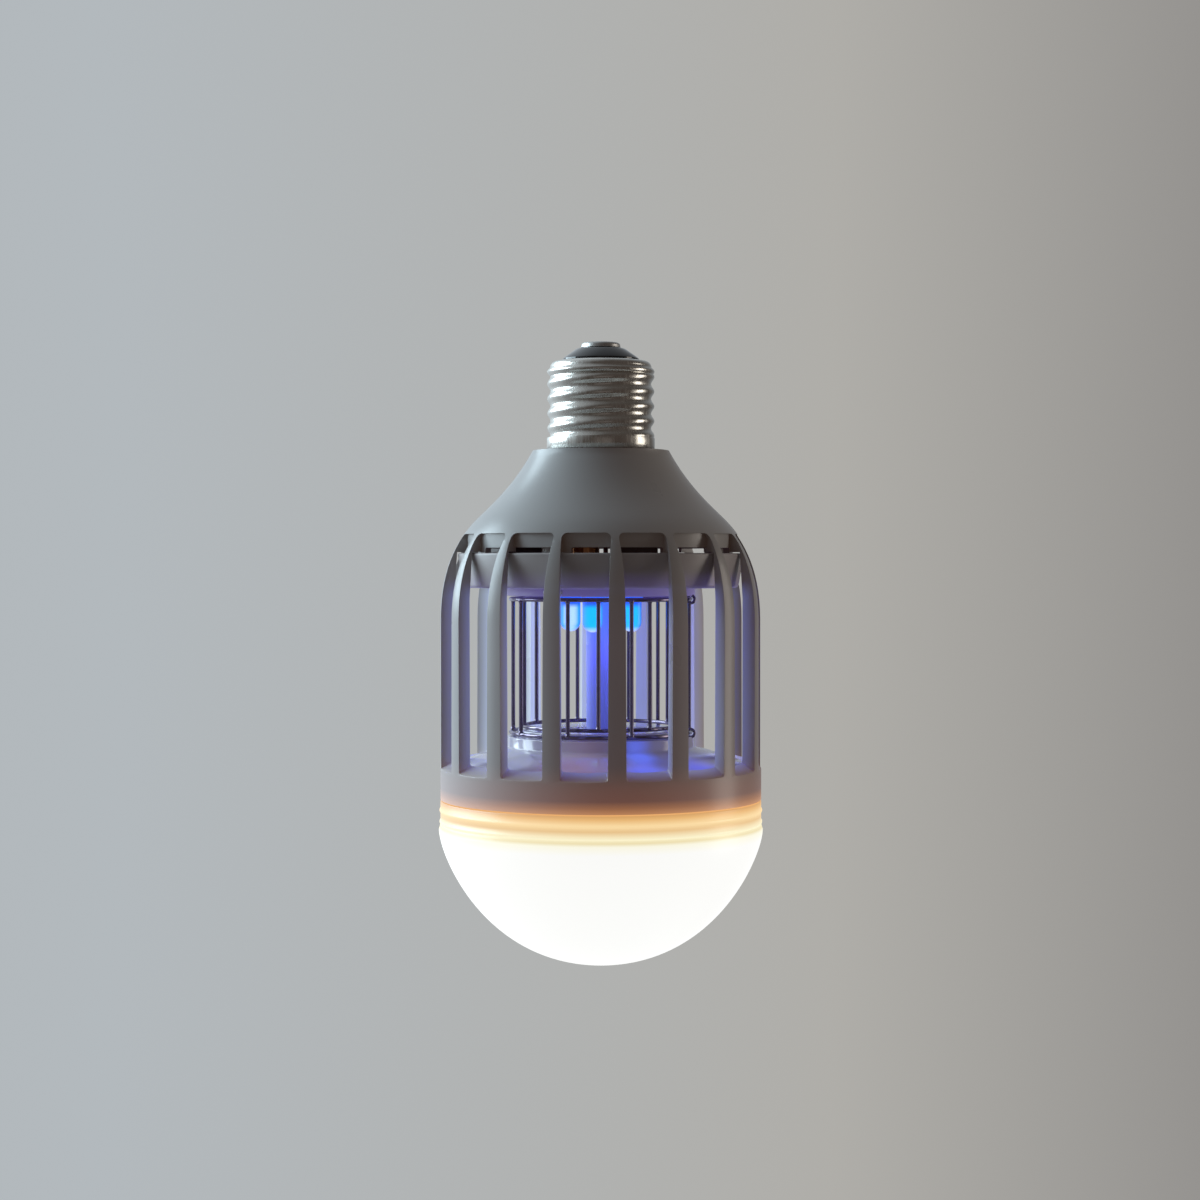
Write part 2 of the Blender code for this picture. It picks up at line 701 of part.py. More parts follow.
def through_cup(name, radius, place):
    return solid_rod(name, radius, CUP_FLOOR_Z + CUP_FLOOR, CUP_BOSS_Z - CUP_FLOOR, place, sides=HOLE_STEPS)


def screw(name, place, seat, length, material):
    """Pan-head screw that points up, its head under the seat."""
    bottom = seat - GAP - SCREW_HEAD_HEIGHT
    crown = SCREW_HEAD_RADIUS * 0.7
    outline = [
        (0.0, seat + length),
        (SCREW_SHANK_RADIUS * 0.5, seat + length),
        (SCREW_SHANK_RADIUS, seat + length - SCREW_SHANK_RADIUS),
        (SCREW_SHANK_RADIUS, seat - GAP),
        (SCREW_HEAD_RADIUS, seat - GAP),
        (SCREW_HEAD_RADIUS, seat - GAP - SCREW_HEAD_HEIGHT / 2),
        (crown, bottom),
        (0.0, bottom),
    ]
    part = turned(name, outline, material, steps=HOLE_STEPS, closed=False)
    part.location = (place[0], place[1], 0.0)


def cup_screws():
    for index, angle in enumerate(boss_angles()):
        place = on_circle(SCREW_CIRCLE, angle)
        screw(f"cup_screw_{index + 1}", place, CUP_BOTTOM_Z, SCREW_LENGTH - GAP, STEEL)


def centre_tube():
    top = CUP_FLOOR_Z
    bottom = TUBE_SOCKET_Z + GAP
    outline = [(TUBE_BORE, top), (TUBE_RADIUS, top), (TUBE_RADIUS, bottom), (TUBE_BORE, bottom)]
    turned("centre_tube", outline, TUBE_PLASTIC, steps=SMALL_STEPS)


# electric grid

def grid_ring(name, radius, height):
    bpy.ops.mesh.primitive_torus_add(
        major_segments=3 * GRID_ROD_COUNT,
        minor_segments=6,
        major_radius=radius,
        minor_radius=GRID_WIRE_RADIUS,
        location=(0.0, 0.0, height),
    )
    ring = keep(bpy.context.object, name, GRID_STEEL)
    smooth(ring)


def electrode(label, radius, phase, seat_below):
    """Rods between two rings. The upper ring lies against the cup's boss, the lower one on the deck."""
    upper = CUP_BOSS_Z - GAP - GRID_WIRE_RADIUS
    lower = seat_below + GAP + GRID_WIRE_RADIUS
    grid_ring(f"{label}_ring_upper", radius, upper)
    grid_ring(f"{label}_ring_lower", radius, lower)
    top = upper - GRID_WIRE_RADIUS - GAP
    bottom = lower + GRID_WIRE_RADIUS + GAP
    for index, angle in enumerate(around(GRID_ROD_COUNT, phase)):
        place = on_circle(radius, angle)
        name = f"{label}_rod_{index + 1}"
        rod = solid_rod(name, GRID_WIRE_RADIUS, top, bottom, place, GRID_STEEL, sides=WIRE_SIDES)
        smooth(rod)


def grid_lead_places():
    """Where the two grid leads come down, over the outer and the inner ring."""
    outer = on_circle(GRID_OUTER_RADIUS, GRID_OUTER_PHASE + math.pi)
    inner = on_circle(GRID_INNER_RADIUS, GRID_INNER_PHASE + math.pi / 2)
    return [outer, inner]


def grid_leads():
    names = ("outer_grid_lead", "inner_grid_lead")
    for name, place in zip(names, grid_lead_places()):
        top = BOARD_UNDER_Z - GAP
        route = [(place.x, place.y, top), (place.x, place.y, CUP_BOSS_Z)]
        wire(name, route, THIN_LEAD_RADIUS, LEAD_RED)


# ultraviolet lamps

def uv_led(name, angle):
    """Round LED that points down: a clear body with a dome, a flange and two legs."""
    flange_top = CUP_BOSS_Z - GAP
    flange_radius = UV_RADIUS + UV_FLANGE_WIDTH
    dome_centre = flange_top - UV_LENGTH + UV_RADIUS
    outline = [(0.0, flange_top), (flange_radius, flange_top), (flange_radius, flange_top - UV_FLANGE_HEIGHT)]
    outline += [(UV_RADIUS, flange_top - UV_FLANGE_HEIGHT), (UV_RADIUS, dome_centre)]
    for step in range(1, 3):
        angle_down = step * math.pi / 6
        outline.append((UV_RADIUS * math.cos(angle_down), dome_centre - UV_RADIUS * math.sin(angle_down)))
    outline.append((0.0, dome_centre - UV_RADIUS))
    lamp = turned(name, outline, UV_CLEAR, steps=HOLE_STEPS, closed=False)
    for side in (-1, 1):
        leg_top = UV_BOARD_UNDER_Z - GAP
        leg = solid_rod(
            f"{name}_leg_{side}",
            UV_LEG_RADIUS,
            leg_top,
            flange_top - UV_FLANGE_HEIGHT / 2,
            (side * UV_LEG_SPREAD, 0.0),
            sides=6,
        )
        join(lamp, leg)
    lamp = keep(applied(lamp), name)
    place = on_circle(UV_CIRCLE, angle)
    lamp.location = (place.x, place.y, 0.0)
    lamp.rotation_euler.z = angle + math.pi / 2
    smooth(lamp)


def uv_leds():
    for index, angle in enumerate(around(UV_COUNT, UV_PHASE)):
        uv_led(f"uv_led_{index + 1}", angle)


def uv_led_board():
    top = UV_BOARD_UNDER_Z + BOARD_THICKNESS
    outline = [
        (TUBE_BORE, top),
        (UV_BOARD_RADIUS, top),
        (UV_BOARD_RADIUS, UV_BOARD_UNDER_Z),
        (TUBE_BORE, UV_BOARD_UNDER_Z),
    ]
    turned("uv_led_board", outline, BOARD_GREEN, steps=SMALL_STEPS)


# lower deck

def plate_screw_places():
    return [on_circle(PLATE_SCREW_CIRCLE, angle) for angle in around(PLATE_SCREW_COUNT, math.pi / 4)]


def deck_floor_height(radius):
    """Height of the deck's sloping floor at a radius."""
    share = (radius - BOSS_RADIUS) / (DECK_RADIUS - BOSS_RADIUS)
    return DECK_FLOOR_Z + share * (DECK_RIM_Z - DECK_FLOOR_Z)


def lower_deck():
    """Floor of the cage: a shallow cone round a raised boss, with a rim that slips into the band."""
    socket_radius = TUBE_RADIUS + GAP
    plateau_radius = (GRID_INNER_RADIUS + GRID_OUTER_RADIUS) / 2
    under_boss = DECK_BOSS_Z - DECK_WALL
    under_floor = DECK_FLOOR_Z - DECK_WALL
    under_rim = DECK_RIM_Z - DECK_WALL
    rim_inner = DECK_RADIUS - DECK_WALL
    outline = [
        (socket_radius, DECK_PLATEAU_Z),
        (plateau_radius, DECK_PLATEAU_Z),
        (plateau_radius, DECK_BOSS_Z),
        (BOSS_RADIUS, DECK_BOSS_Z),
        (BOSS_RADIUS, DECK_FLOOR_Z),
        (DECK_RADIUS, DECK_RIM_Z),
        (DECK_RADIUS, DECK_FLANGE_TOP_Z),
        (DECK_FLANGE_RADIUS, DECK_FLANGE_TOP_Z),
        (DECK_FLANGE_RADIUS, DECK_FLANGE_UNDER_Z),
        (rim_inner, DECK_FLANGE_UNDER_Z),
        (rim_inner, under_rim),
        (BOSS_RADIUS - DECK_WALL, under_floor),
        (BOSS_RADIUS - DECK_WALL, under_boss),
        (TUBE_BORE, under_boss),
        (TUBE_BORE, TUBE_SOCKET_Z),
        (socket_radius, TUBE_SOCKET_Z),
    ]
    deck = turned("lower_deck", outline, DECK_PLASTIC)
    for index, place in enumerate(plate_screw_places()):
        top = deck_floor_height(PLATE_SCREW_CIRCLE + SCREW_BOSS_RADIUS) - GAP
        pillar = solid_rod(f"pillar_{index + 1}", SCREW_BOSS_RADIUS, top, PLATE_TOP_Z + GAP, place)
        join(deck, pillar)
    for index, place in enumerate(plate_screw_places()):
        top = PLATE_UNDER_Z + PLATE_SCREW_LENGTH + GAP
        radius = SCREW_SHANK_RADIUS + GAP
        cut(deck, solid_rod(f"pillar_hole_{index + 1}", radius, top, PLATE_TOP_Z, place, sides=HOLE_STEPS))
    smooth(applied(deck))


# white lamp

def led_plate():
    outline = [
        (TUBE_BORE, PLATE_TOP_Z),
        (PLATE_RADIUS, PLATE_TOP_Z),
        (PLATE_RADIUS, PLATE_UNDER_Z),
        (TUBE_BORE, PLATE_UNDER_Z),
    ]
    plate = turned("led_plate", outline, ALUMINIUM, steps=DISC_STEPS)
    holes = []
    for index, place in enumerate(plate_screw_places()):
        radius = SCREW_SHANK_RADIUS + HOLE_PLAY
        top = PLATE_TOP_Z + PLATE_THICKNESS
        bottom = PLATE_UNDER_Z - PLATE_THICKNESS
        holes.append(solid_rod(f"plate_hole_{index + 1}", radius, top, bottom, place, sides=HOLE_STEPS))
    cut(plate, one_mesh("plate_holes", holes))


def plate_screws():
    for index, place in enumerate(plate_screw_places()):
        screw(f"plate_screw_{index + 1}", place, PLATE_UNDER_Z, PLATE_SCREW_LENGTH, STEEL)


def led_board():
    board = solid_rod(
        "led_board",
        LED_BOARD_RADIUS,
        LED_BOARD_TOP_Z,
        LED_BOARD_UNDER_Z,
        (0.0, 0.0),
        BOARD_WHITE,
        sides=DISC_STEPS,
    )
    smooth(board)


def led_chips():
    height = LED_BOARD_UNDER_Z - GAP - CHIP_SIZE.z / 2
    for index, angle in enumerate(around(CHIP_COUNT)):
        place = on_circle(CHIP_CIRCLE, angle)
        block(f"led_chip_{index + 1}", CHIP_SIZE, (place.x, place.y, height), angle, CHIP_YELLOW)


def dome_curve(inset, count):
    """Points from the widest ring down to the lowest point, for the outside or, inset by the wall, the inside."""
    side = Vector((DOME_RADIUS - inset, DOME_EQUATOR_Z))
    pole = Vector((0.0, DOME_EQUATOR_Z - DOME_DEPTH + inset))
    side_handle = side - Vector((0.0, DOME_SIDE_HANDLE))
    pole_handle = pole + Vector((DOME_POLE_HANDLE - inset, 0.0))
    curve = bezier(side, side_handle, pole_handle, pole, count)
    return [side] + curve[:-1] + [pole]


def diffuser():
    """Frosted shell: spigot inside the band, two raised beads, then the dome."""
    shoulder = SEAM_Z - GAP
    wall_inner = BODY_RADIUS - DIFFUSER_WALL
    shelf_under = shoulder - DIFFUSER_WALL / 2
    outline = [tuple(point) for point in reversed(dome_curve(DIFFUSER_WALL, 4))]
    outline += [
        (wall_inner, shelf_under - DIFFUSER_WALL / 2),
        (SPIGOT_INNER - PLATE_SHELF, shelf_under),
        (SPIGOT_INNER - PLATE_SHELF, PLATE_LEDGE_Z),
        (SPIGOT_INNER, PLATE_LEDGE_Z),
        (SPIGOT_INNER, SPIGOT_TOP_Z),
        (SPIGOT_RADIUS, SPIGOT_TOP_Z),
        (SPIGOT_RADIUS, shoulder),
        (BODY_RADIUS, shoulder),
    ]
    for drop in BEAD_DROPS:
        middle = SEAM_Z - drop
        outline.append((BODY_RADIUS, middle + BEAD_RADIUS))
        outline.append((BODY_RADIUS + BEAD_PROUD, middle))
        outline.append((BODY_RADIUS, middle - BEAD_RADIUS))
    outline += [tuple(point) for point in dome_curve(0.0, 8)]
    turned("diffuser", outline, FROSTED, closed=False)


# driver

def driver_board():
    outline = [(0.0, BOARD_TOP_Z), (SKIRT_INNER - GAP, BOARD_TOP_Z)]
    outline += [(SKIRT_INNER - GAP, BOARD_UNDER_Z), (0.0, BOARD_UNDER_Z)]
    board = turned("driver_board", outline, BOARD_GREEN, steps=DISC_STEPS, closed=False)
    notches = []
    for index, angle in enumerate(boss_angles()):
        place = on_circle(SCREW_CIRCLE, angle)
        top = BOARD_TOP_Z + BOARD_THICKNESS
        bottom = BOARD_UNDER_Z - BOARD_THICKNESS
        radius = SCREW_BOSS_RADIUS + HOLE_PLAY
        notches.append(solid_rod(f"board_notch_{index + 1}", radius, top, bottom, place))
    cut(board, one_mesh("board_notches", notches))


def driver_parts():
    """Two parts stand on the board. The capacitor, the fuse and the choke hang under it, behind the vents."""
    seat = BOARD_TOP_Z + GAP
    under = BOARD_UNDER_Z - GAP
    centre = (*TRANSFORMER_PLACE, seat + TRANSFORMER_SIZE.z / 2)
    block("transformer", TRANSFORMER_SIZE, centre, 0.0, COIL_YELLOW, round_edges=SOFT_EDGE)
    can = solid_rod(
        "electrolytic_capacitor",
        ELECTROLYTIC_RADIUS,
        seat + ELECTROLYTIC_LENGTH,
        seat,
        ELECTROLYTIC_PLACE,
        CAN_BLACK,
    )
    smooth(can)
    centre = (*FILM_CAPACITOR_PLACE, under - FILM_CAPACITOR_SIZE.z / 2)
    block("film_capacitor", FILM_CAPACITOR_SIZE, centre, FILM_CAPACITOR_TURN, FILM_RED, round_edges=SOFT_EDGE)
    bpy.ops.mesh.primitive_cylinder_add(
        vertices=HOLE_STEPS,
        radius=FUSE_RADIUS,
        depth=FUSE_LENGTH,
        location=(*FUSE_PLACE, under - FUSE_RADIUS),
        rotation=(0.0, math.pi / 2, 0.0),
    )
    smooth(keep(bpy.context.object, "fuse_resistor", FUSE_GREEN))
    outline = [
        (CHOKE_HOLE_RADIUS, under),
        (CHOKE_RADIUS, under),
        (CHOKE_RADIUS, under - CHOKE_LENGTH),
        (CHOKE_HOLE_RADIUS, under - CHOKE_LENGTH),
    ]
    choke = turned("choke", outline, COPPER, steps=SMALL_STEPS)
    place = on_circle(SKIRT_INNER - 2.5 * CHOKE_RADIUS, CHOKE_ANGLE)
    choke.location = (place.x, place.y, 0.0)


def supply_leads():
    """From the cap to the driver board: the live lead off the tip, the neutral one off the shell."""
    seat = BOARD_TOP_Z + GAP
    live = [
        (0.0, 0.0, CONTACT_STEM_Z - GAP),
        (0.0, 0.0, NECK_HEIGHT),
        (*LIVE_PLACE, seat + LEAD_SLACK),
        (*LIVE_PLACE, seat),
    ]
    wire("live_lead", live, LEAD_RADIUS, LEAD_RED)
    shell_inner = CAP_THREAD_RADIUS - CAP_THREAD_DEPTH - CAP_WALL
    tail = shell_inner - GAP - LEAD_RADIUS
    folded = NECK_RADIUS - NECK_WALL - GAP - 2 * LEAD_RADIUS
    neutral = [
        (-tail, 0.0, NECK_HEIGHT + LEAD_FOLD + LEAD_TAIL),
        (-tail, 0.0, NECK_HEIGHT + LEAD_FOLD),
        (-folded, 0.0, NECK_HEIGHT + GAP),
        (*NEUTRAL_PLACE, seat + LEAD_SLACK),
        (*NEUTRAL_PLACE, seat),
    ]
    wire("neutral_lead", neutral, LEAD_RADIUS, LEAD_BLACK)


def column_leads():
    """Two leads from the driver board through the centre tube to the LED board."""
    offset = TUBE_BORE / 2
    for name, side, material in (("led_lead_plus", 1, LEAD_RED), ("led_lead_minus", -1, LEAD_BLACK)):
        top = BOARD_UNDER_Z - GAP
        bottom = LED_BOARD_TOP_Z + GAP
        route = [(side * offset, 0.0, top), (side * offset, 0.0, bottom)]
        wire(name, route, LEAD_RADIUS, material)


clear_scene()
PARTS = new_collection("insect_killer_light_bulb")
CUTTERS = new_collection("cutters")

HOUSING_PLASTIC = new_material("housing_plastic", (0.72, 0.73, 0.74), 0.35)
DECK_PLASTIC = new_material("deck_plastic", (0.80, 0.80, 0.82), 0.15)
TUBE_PLASTIC = new_material("tube_plastic", (0.85, 0.87, 0.95), 0.30)
FROSTED = new_material("frosted_plastic", (0.95, 0.93, 0.88), 0.45)
CAP_METAL = new_material("cap_metal", (0.78, 0.77, 0.74), 0.28, metallic=1.0)
SOLDER = new_material("solder", (0.66, 0.66, 0.66), 0.35, metallic=1.0)
BLACK_GLASS = new_material("black_glass", (0.02, 0.02, 0.02), 0.15)
GRID_STEEL = new_material("grid_steel", (0.62, 0.62, 0.65), 0.22, metallic=1.0)
UV_CLEAR = new_material("uv_lens", (0.45, 0.62, 1.0), 0.08, transmission=0.7)
STEEL = new_material("steel", (0.55, 0.55, 0.56), 0.30, metallic=1.0)
ALUMINIUM = new_material("aluminium", (0.80, 0.80, 0.81), 0.35, metallic=1.0)
BOARD_GREEN = new_material("board_green", (0.04, 0.22, 0.10), 0.40)
BOARD_WHITE = new_material("board_white", (0.85, 0.85, 0.83), 0.40)
CHIP_YELLOW = new_material("chip_yellow", (0.90, 0.75, 0.20), 0.30)
COIL_YELLOW = new_material("coil_yellow", (0.75, 0.62, 0.12), 0.45)
CAN_BLACK = new_material("can_black", (0.03, 0.03, 0.04), 0.35)
FILM_RED = new_material("film_red", (0.35, 0.05, 0.03), 0.35)
FUSE_GREEN = new_material("fuse_green", (0.08, 0.25, 0.18), 0.45)
COPPER = new_material("copper", (0.75, 0.38, 0.18), 0.30, metallic=1.0)
LEAD_RED = new_material("lead_red", (0.55, 0.04, 0.03), 0.45)
LEAD_BLACK = new_material("lead_black", (0.03, 0.03, 0.03), 0.45)

screw_shell()
base_insulator()
centre_contact()
cage_housing()
lamp_cup()
cup_screws()
centre_tube()
electrode("outer_grid", GRID_OUTER_RADIUS, GRID_OUTER_PHASE, DECK_BOSS_Z)
electrode("inner_grid", GRID_INNER_RADIUS, GRID_INNER_PHASE, DECK_PLATEAU_Z)
grid_leads()
uv_leds()
uv_led_board()
lower_deck()
led_plate()
plate_screws()
led_board()
led_chips()
diffuser()
driver_board()
driver_parts()
supply_leads()
column_leads()
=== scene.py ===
import json
import math

import bpy
from mathutils import Matrix, Vector


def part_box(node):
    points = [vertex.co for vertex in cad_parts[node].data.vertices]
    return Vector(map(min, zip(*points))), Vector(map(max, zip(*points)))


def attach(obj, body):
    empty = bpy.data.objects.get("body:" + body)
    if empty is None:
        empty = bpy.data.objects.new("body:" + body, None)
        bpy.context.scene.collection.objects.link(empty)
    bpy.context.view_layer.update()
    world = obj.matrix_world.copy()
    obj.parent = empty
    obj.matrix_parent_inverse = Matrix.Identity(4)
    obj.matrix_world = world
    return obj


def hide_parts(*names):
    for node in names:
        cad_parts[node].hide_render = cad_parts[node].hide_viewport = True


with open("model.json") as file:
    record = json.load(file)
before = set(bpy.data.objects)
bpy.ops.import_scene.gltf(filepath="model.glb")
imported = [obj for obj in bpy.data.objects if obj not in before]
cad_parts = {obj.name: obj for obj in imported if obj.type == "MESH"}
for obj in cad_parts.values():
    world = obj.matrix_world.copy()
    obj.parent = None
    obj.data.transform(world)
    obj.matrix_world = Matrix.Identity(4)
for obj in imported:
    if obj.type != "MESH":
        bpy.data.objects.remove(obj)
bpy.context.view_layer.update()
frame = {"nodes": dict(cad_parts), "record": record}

mm = 0.001
gap = 0.3 * mm  # clearance between neighbouring pieces

cageLow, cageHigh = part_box("cage_housing")
cupLow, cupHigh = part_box("lamp_cup")
deckLow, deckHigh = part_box("lower_deck")
bodyRadius = cageHigh.x
seamZ = cageLow.z
ribInner = bodyRadius - 3.25 * mm
cupRimZ = cupHigh.z
cupBossZ = cupLow.z
deckTopZ = deckHigh.z
print("frame loaded")


# small helpers

def makeActive(piece):
    bpy.ops.object.select_all(action="DESELECT")
    piece.select_set(True)
    bpy.context.view_layer.objects.active = piece


def editOn(piece):
    makeActive(piece)
    bpy.ops.object.mode_set(mode="EDIT")


def editOff():
    bpy.ops.object.mode_set(mode="OBJECT")


def applyPlace(piece):
    makeActive(piece)
    bpy.ops.object.transform_apply(location=True, rotation=True, scale=True)
    return piece


def applyStack(piece):
    makeActive(piece)
    for step in list(piece.modifiers):
        bpy.ops.object.modifier_apply(modifier=step.name)


def addObject(name, data):
    piece = bpy.data.objects.new(name, data)
    bpy.context.scene.collection.objects.link(piece)
    return piece


def joinPieces(pieces):
    makeActive(pieces[0])
    for piece in pieces:
        piece.select_set(True)
    bpy.ops.object.join()
    return pieces[0]


def repeatRound(first, count, firstDeg=0):
    # copies of the first piece all round the axis, joined
    copies = []
    for index in range(count):
        twin = addObject("copy", first.data.copy())
        twin.data.transform(Matrix.Rotation(math.radians(firstDeg + 360 * index / count), 4, "Z"))
        copies.append(twin)
    bpy.data.objects.remove(first)
    return joinPieces(copies)


def standOver(piece, node):
    # moves a piece made at the origin onto the node's axis
    low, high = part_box(node)
    centre = (low + high) / 2
    piece.data.transform(Matrix.Translation((centre.x, centre.y, 0)))


def finishPiece(piece, name, slotName, look, *nodes, angle=35):
    makeActive(piece)
    bpy.ops.object.shade_smooth_by_angle(angle=math.radians(angle))
    piece.name = name
    piece.data.name = name
    piece.data.materials.clear()
    piece.data.materials.append(materials[look])
    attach(piece, "root")
    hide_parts(*nodes)


def curvePoints(start, startPull, endPull, end, count):
    # points = a cubic curve without its first point
    points = []
    for step in range(1, count + 1):
        t = step / count
        u = 1 - t
        points.append(start * u**3 + startPull * 3 * u * u * t + endPull * 3 * u * t * t + end * t**3)
    return points


def onCircle(radius, degrees):
    angle = math.radians(degrees)
    return Vector((radius * math.cos(angle), radius * math.sin(angle)))


def arcPoints(centre, radius, startDeg, endDeg, count):
    points = []
    for step in range(count + 1):
        angle = math.radians(startDeg + (endDeg - startDeg) * step / count)
        points.append(Vector((centre[0] + radius * math.cos(angle), centre[1] + radius * math.sin(angle))))
    return points


def drawPath(points):
    # one vertex, extruded from point to point; edit mode stays on
    bpy.ops.mesh.primitive_plane_add(size=mm, location=(0, 0, 0))
    bpy.ops.object.mode_set(mode="EDIT")
    bpy.ops.mesh.select_mode(type="VERT")
    bpy.ops.mesh.select_all(action="SELECT")
    bpy.ops.mesh.merge(type="CENTER")
    path = [Vector(point) for point in points]
    bpy.ops.transform.translate(value=(path[0].x, 0, path[0].y))
    for here, there in zip(path, path[1:]):
        step = there - here
        bpy.ops.mesh.extrude_region_move(TRANSFORM_OT_translate={"value": (step.x, 0, step.y)})
    return bpy.context.object


def spinOutline(outline, steps, closed=True, startDeg=0):
    # the outline of radii and heights, spun round the axis
    piece = drawPath(outline + outline[:1] if closed else outline)
    bpy.ops.mesh.select_all(action="SELECT")
    bpy.ops.mesh.remove_doubles(threshold=0.001 * mm)
    bpy.ops.mesh.spin(steps=steps, angle=math.tau, center=(0, 0, 0), axis=(0, 0, 1))
    bpy.ops.mesh.select_all(action="SELECT")
    bpy.ops.mesh.remove_doubles(threshold=0.001 * mm)
    bpy.ops.mesh.normals_make_consistent(inside=False)
    editOff()
    if startDeg:
        piece.data.transform(Matrix.Rotation(math.radians(startDeg), 4, "Z"))
    return piece


def carve(piece, cutter, operation="DIFFERENCE"):
    step = piece.modifiers.new("carve", "BOOLEAN")
    step.operation = operation
    step.solver = "EXACT"
    step.object = cutter
    applyStack(piece)
    bpy.data.objects.remove(cutter, do_unlink=True)


def softenEdges(piece, width):
    step = piece.modifiers.new("soften", "BEVEL")
    step.width = width
    step.segments = 2
    step.limit_method = "ANGLE"
    step.angle_limit = math.radians(40)
    step.use_clamp_overlap = True
    applyStack(piece)


def addBox(centre, scale, turn=0):
    bpy.ops.mesh.primitive_cube_add(size=1, location=centre)
    piece = bpy.context.object
    piece.scale = scale
    piece.rotation_euler.z = turn
    return applyPlace(piece)


def uprightRod(radius, low, high, place, sides):
    bpy.ops.mesh.primitive_cylinder_add(
        vertices=sides, radius=radius, depth=high - low, location=(place[0], place[1], (low + high) / 2)
    )
    return applyPlace(bpy.context.object)


def wireRing(radius, wire, counts, place, turn=(0, 0, 0)):
    bpy.ops.mesh.primitive_torus_add(
        major_segments=counts[0], minor_segments=counts[1], major_radius=radius, minor_radius=wire
    )
    ring = bpy.context.object
    ring.rotation_euler = turn
    ring.location = place
    return applyPlace(ring)


# shader nodes: what is given to them is a socket to link or a fixed value

def feedNode(tree, node, values):
    for key, value in values.items():
        socket = node.inputs[key]
        if isinstance(value, bpy.types.NodeSocket):
            tree.links.new(value, socket)
        elif socket.type == "RGBA":
            socket.default_value = (*value, 1)
        else:
            socket.default_value = value
    return node


def addNode(tree, kind, values):
    return feedNode(tree, tree.nodes.new(kind), values)


def addMath(tree, operation, first, second):
    node = tree.nodes.new("ShaderNodeMath")
    node.operation = operation
    return feedNode(tree, node, {0: first, 1: second}).outputs[0]


def addVector(tree, operation, first, second=(0, 0, 0)):
    node = tree.nodes.new("ShaderNodeVectorMath")
    node.operation = operation
    feedNode(tree, node, {0: first, 1: second})
    return node.outputs["Value" if operation in ("LENGTH", "DISTANCE", "DOT_PRODUCT") else "Vector"]


def addRange(tree, value, low=0, high=1, toLow=0, toHigh=1, kind="LINEAR"):
    node = tree.nodes.new("ShaderNodeMapRange")
    node.interpolation_type = kind
    return feedNode(tree, node, {0: value, 1: low, 2: high, 3: toLow, 4: toHigh}).outputs[0]


def addMix(tree, factor, first, second, blend="MIX"):
    node = tree.nodes.new("ShaderNodeMix")
    node.data_type = "RGBA"
    node.blend_type = blend
    return feedNode(tree, node, {0: factor, 6: first, 7: second}).outputs[2]


def addNoise(tree, place, scale, detail):
    values = {"Vector": place, "Scale": scale, "Detail": detail}
    return addNode(tree, "ShaderNodeTexNoise", values).outputs["Fac"]


def partOf(tree, place, axis):
    return addNode(tree, "ShaderNodeSeparateXYZ", {0: place}).outputs[axis]


def objectPlace(tree):
    return tree.nodes.new("ShaderNodeTexCoord").outputs["Object"]


def addRamp(tree, factor, stops):
    ramp = addNode(tree, "ShaderNodeValToRGB", {"Fac": factor})
    marks = ramp.color_ramp.elements
    while len(marks) < len(stops):
        marks.new(0.5)
    for mark, (place, colour) in zip(marks, stops):
        mark.position = place
        mark.color = (*colour, 1)
    return ramp.outputs["Color"]


def addBump(tree, shader, height, strength, depth):
    bump = addNode(tree, "ShaderNodeBump", {"Strength": strength, "Distance": depth, "Height": height})
    feedNode(tree, shader, {"Normal": bump.outputs["Normal"]})


# shader groups

def newGroup(name, inputs):
    # inputs = names with defaults; four numbers make a colour, three a vector
    group = bpy.data.node_groups.new(name, "ShaderNodeTree")
    for label, value in inputs.items():
        kind = "NodeSocketFloat"
        if isinstance(value, tuple):
            kind = "NodeSocketColor" if len(value) == 4 else "NodeSocketVector"
        socket = group.interface.new_socket(name=label, in_out="INPUT", socket_type=kind)
        socket.default_value = value
    return group, group.nodes.new("NodeGroupInput").outputs


def closeGroup(group, **results):
    for label in results:
        kind = "NodeSocketColor" if label == "Color" else "NodeSocketFloat"
        group.interface.new_socket(name=label, in_out="OUTPUT", socket_type=kind)
    addNode(group, "NodeGroupOutput", results)
    return group


def makeMouldedSkin():
    # moulded plastic: faint clouds in the colour, a fine grain, slow changes of gloss
    looks = {"Clouding": 0.05, "Gloss Low": 0.3, "Gloss High": 0.45, "Grain": 2500}
    group, given = newGroup("mouldedSkin", {"Tint": (0.5, 0.5, 0.5, 1), **looks})
    place = objectPlace(group)
    clouds = addNoise(group, place, 45, 4)
    grain = addNoise(group, place, given["Grain"], 2)
    shade = addMath(group, "MULTIPLY", clouds, given["Clouding"])
    colour = addMix(group, shade, given["Tint"], (0.55, 0.55, 0.57), "MULTIPLY")
    gloss = addRange(group, clouds, 0.3, 0.7, given["Gloss Low"], given["Gloss High"])
    return closeGroup(group, Color=colour, Roughness=gloss, Height=grain)


def makeDrawnMetal():
    # metal drawn or rolled along Z: long streaks in gloss, spots of tarnish
    looks = {"Tarnish": (0.3, 0.3, 0.3, 1), "Gloss Low": 0.15, "Gloss High": 0.35, "Wear": 0.3}
    group, given = newGroup("drawnMetal", {"Tint": (0.6, 0.6, 0.6, 1), **looks})
    place = objectPlace(group)
    stretch = addNode(group, "ShaderNodeMapping", {"Vector": place, "Scale": (1, 1, 0.06)})
    streaks = addNoise(group, stretch.outputs[0], 1600, 3)
    spots = addRange(group, addNoise(group, place, 260, 5), 0.48, 0.72)
    wear = addMath(group, "MULTIPLY", spots, given["Wear"])
    colour = addMix(group, wear, given["Tint"], given["Tarnish"])
    gloss = addRange(group, streaks, 0.3, 0.7, given["Gloss Low"], given["Gloss High"])
    return closeGroup(group, Color=colour, Roughness=gloss, Height=streaks)


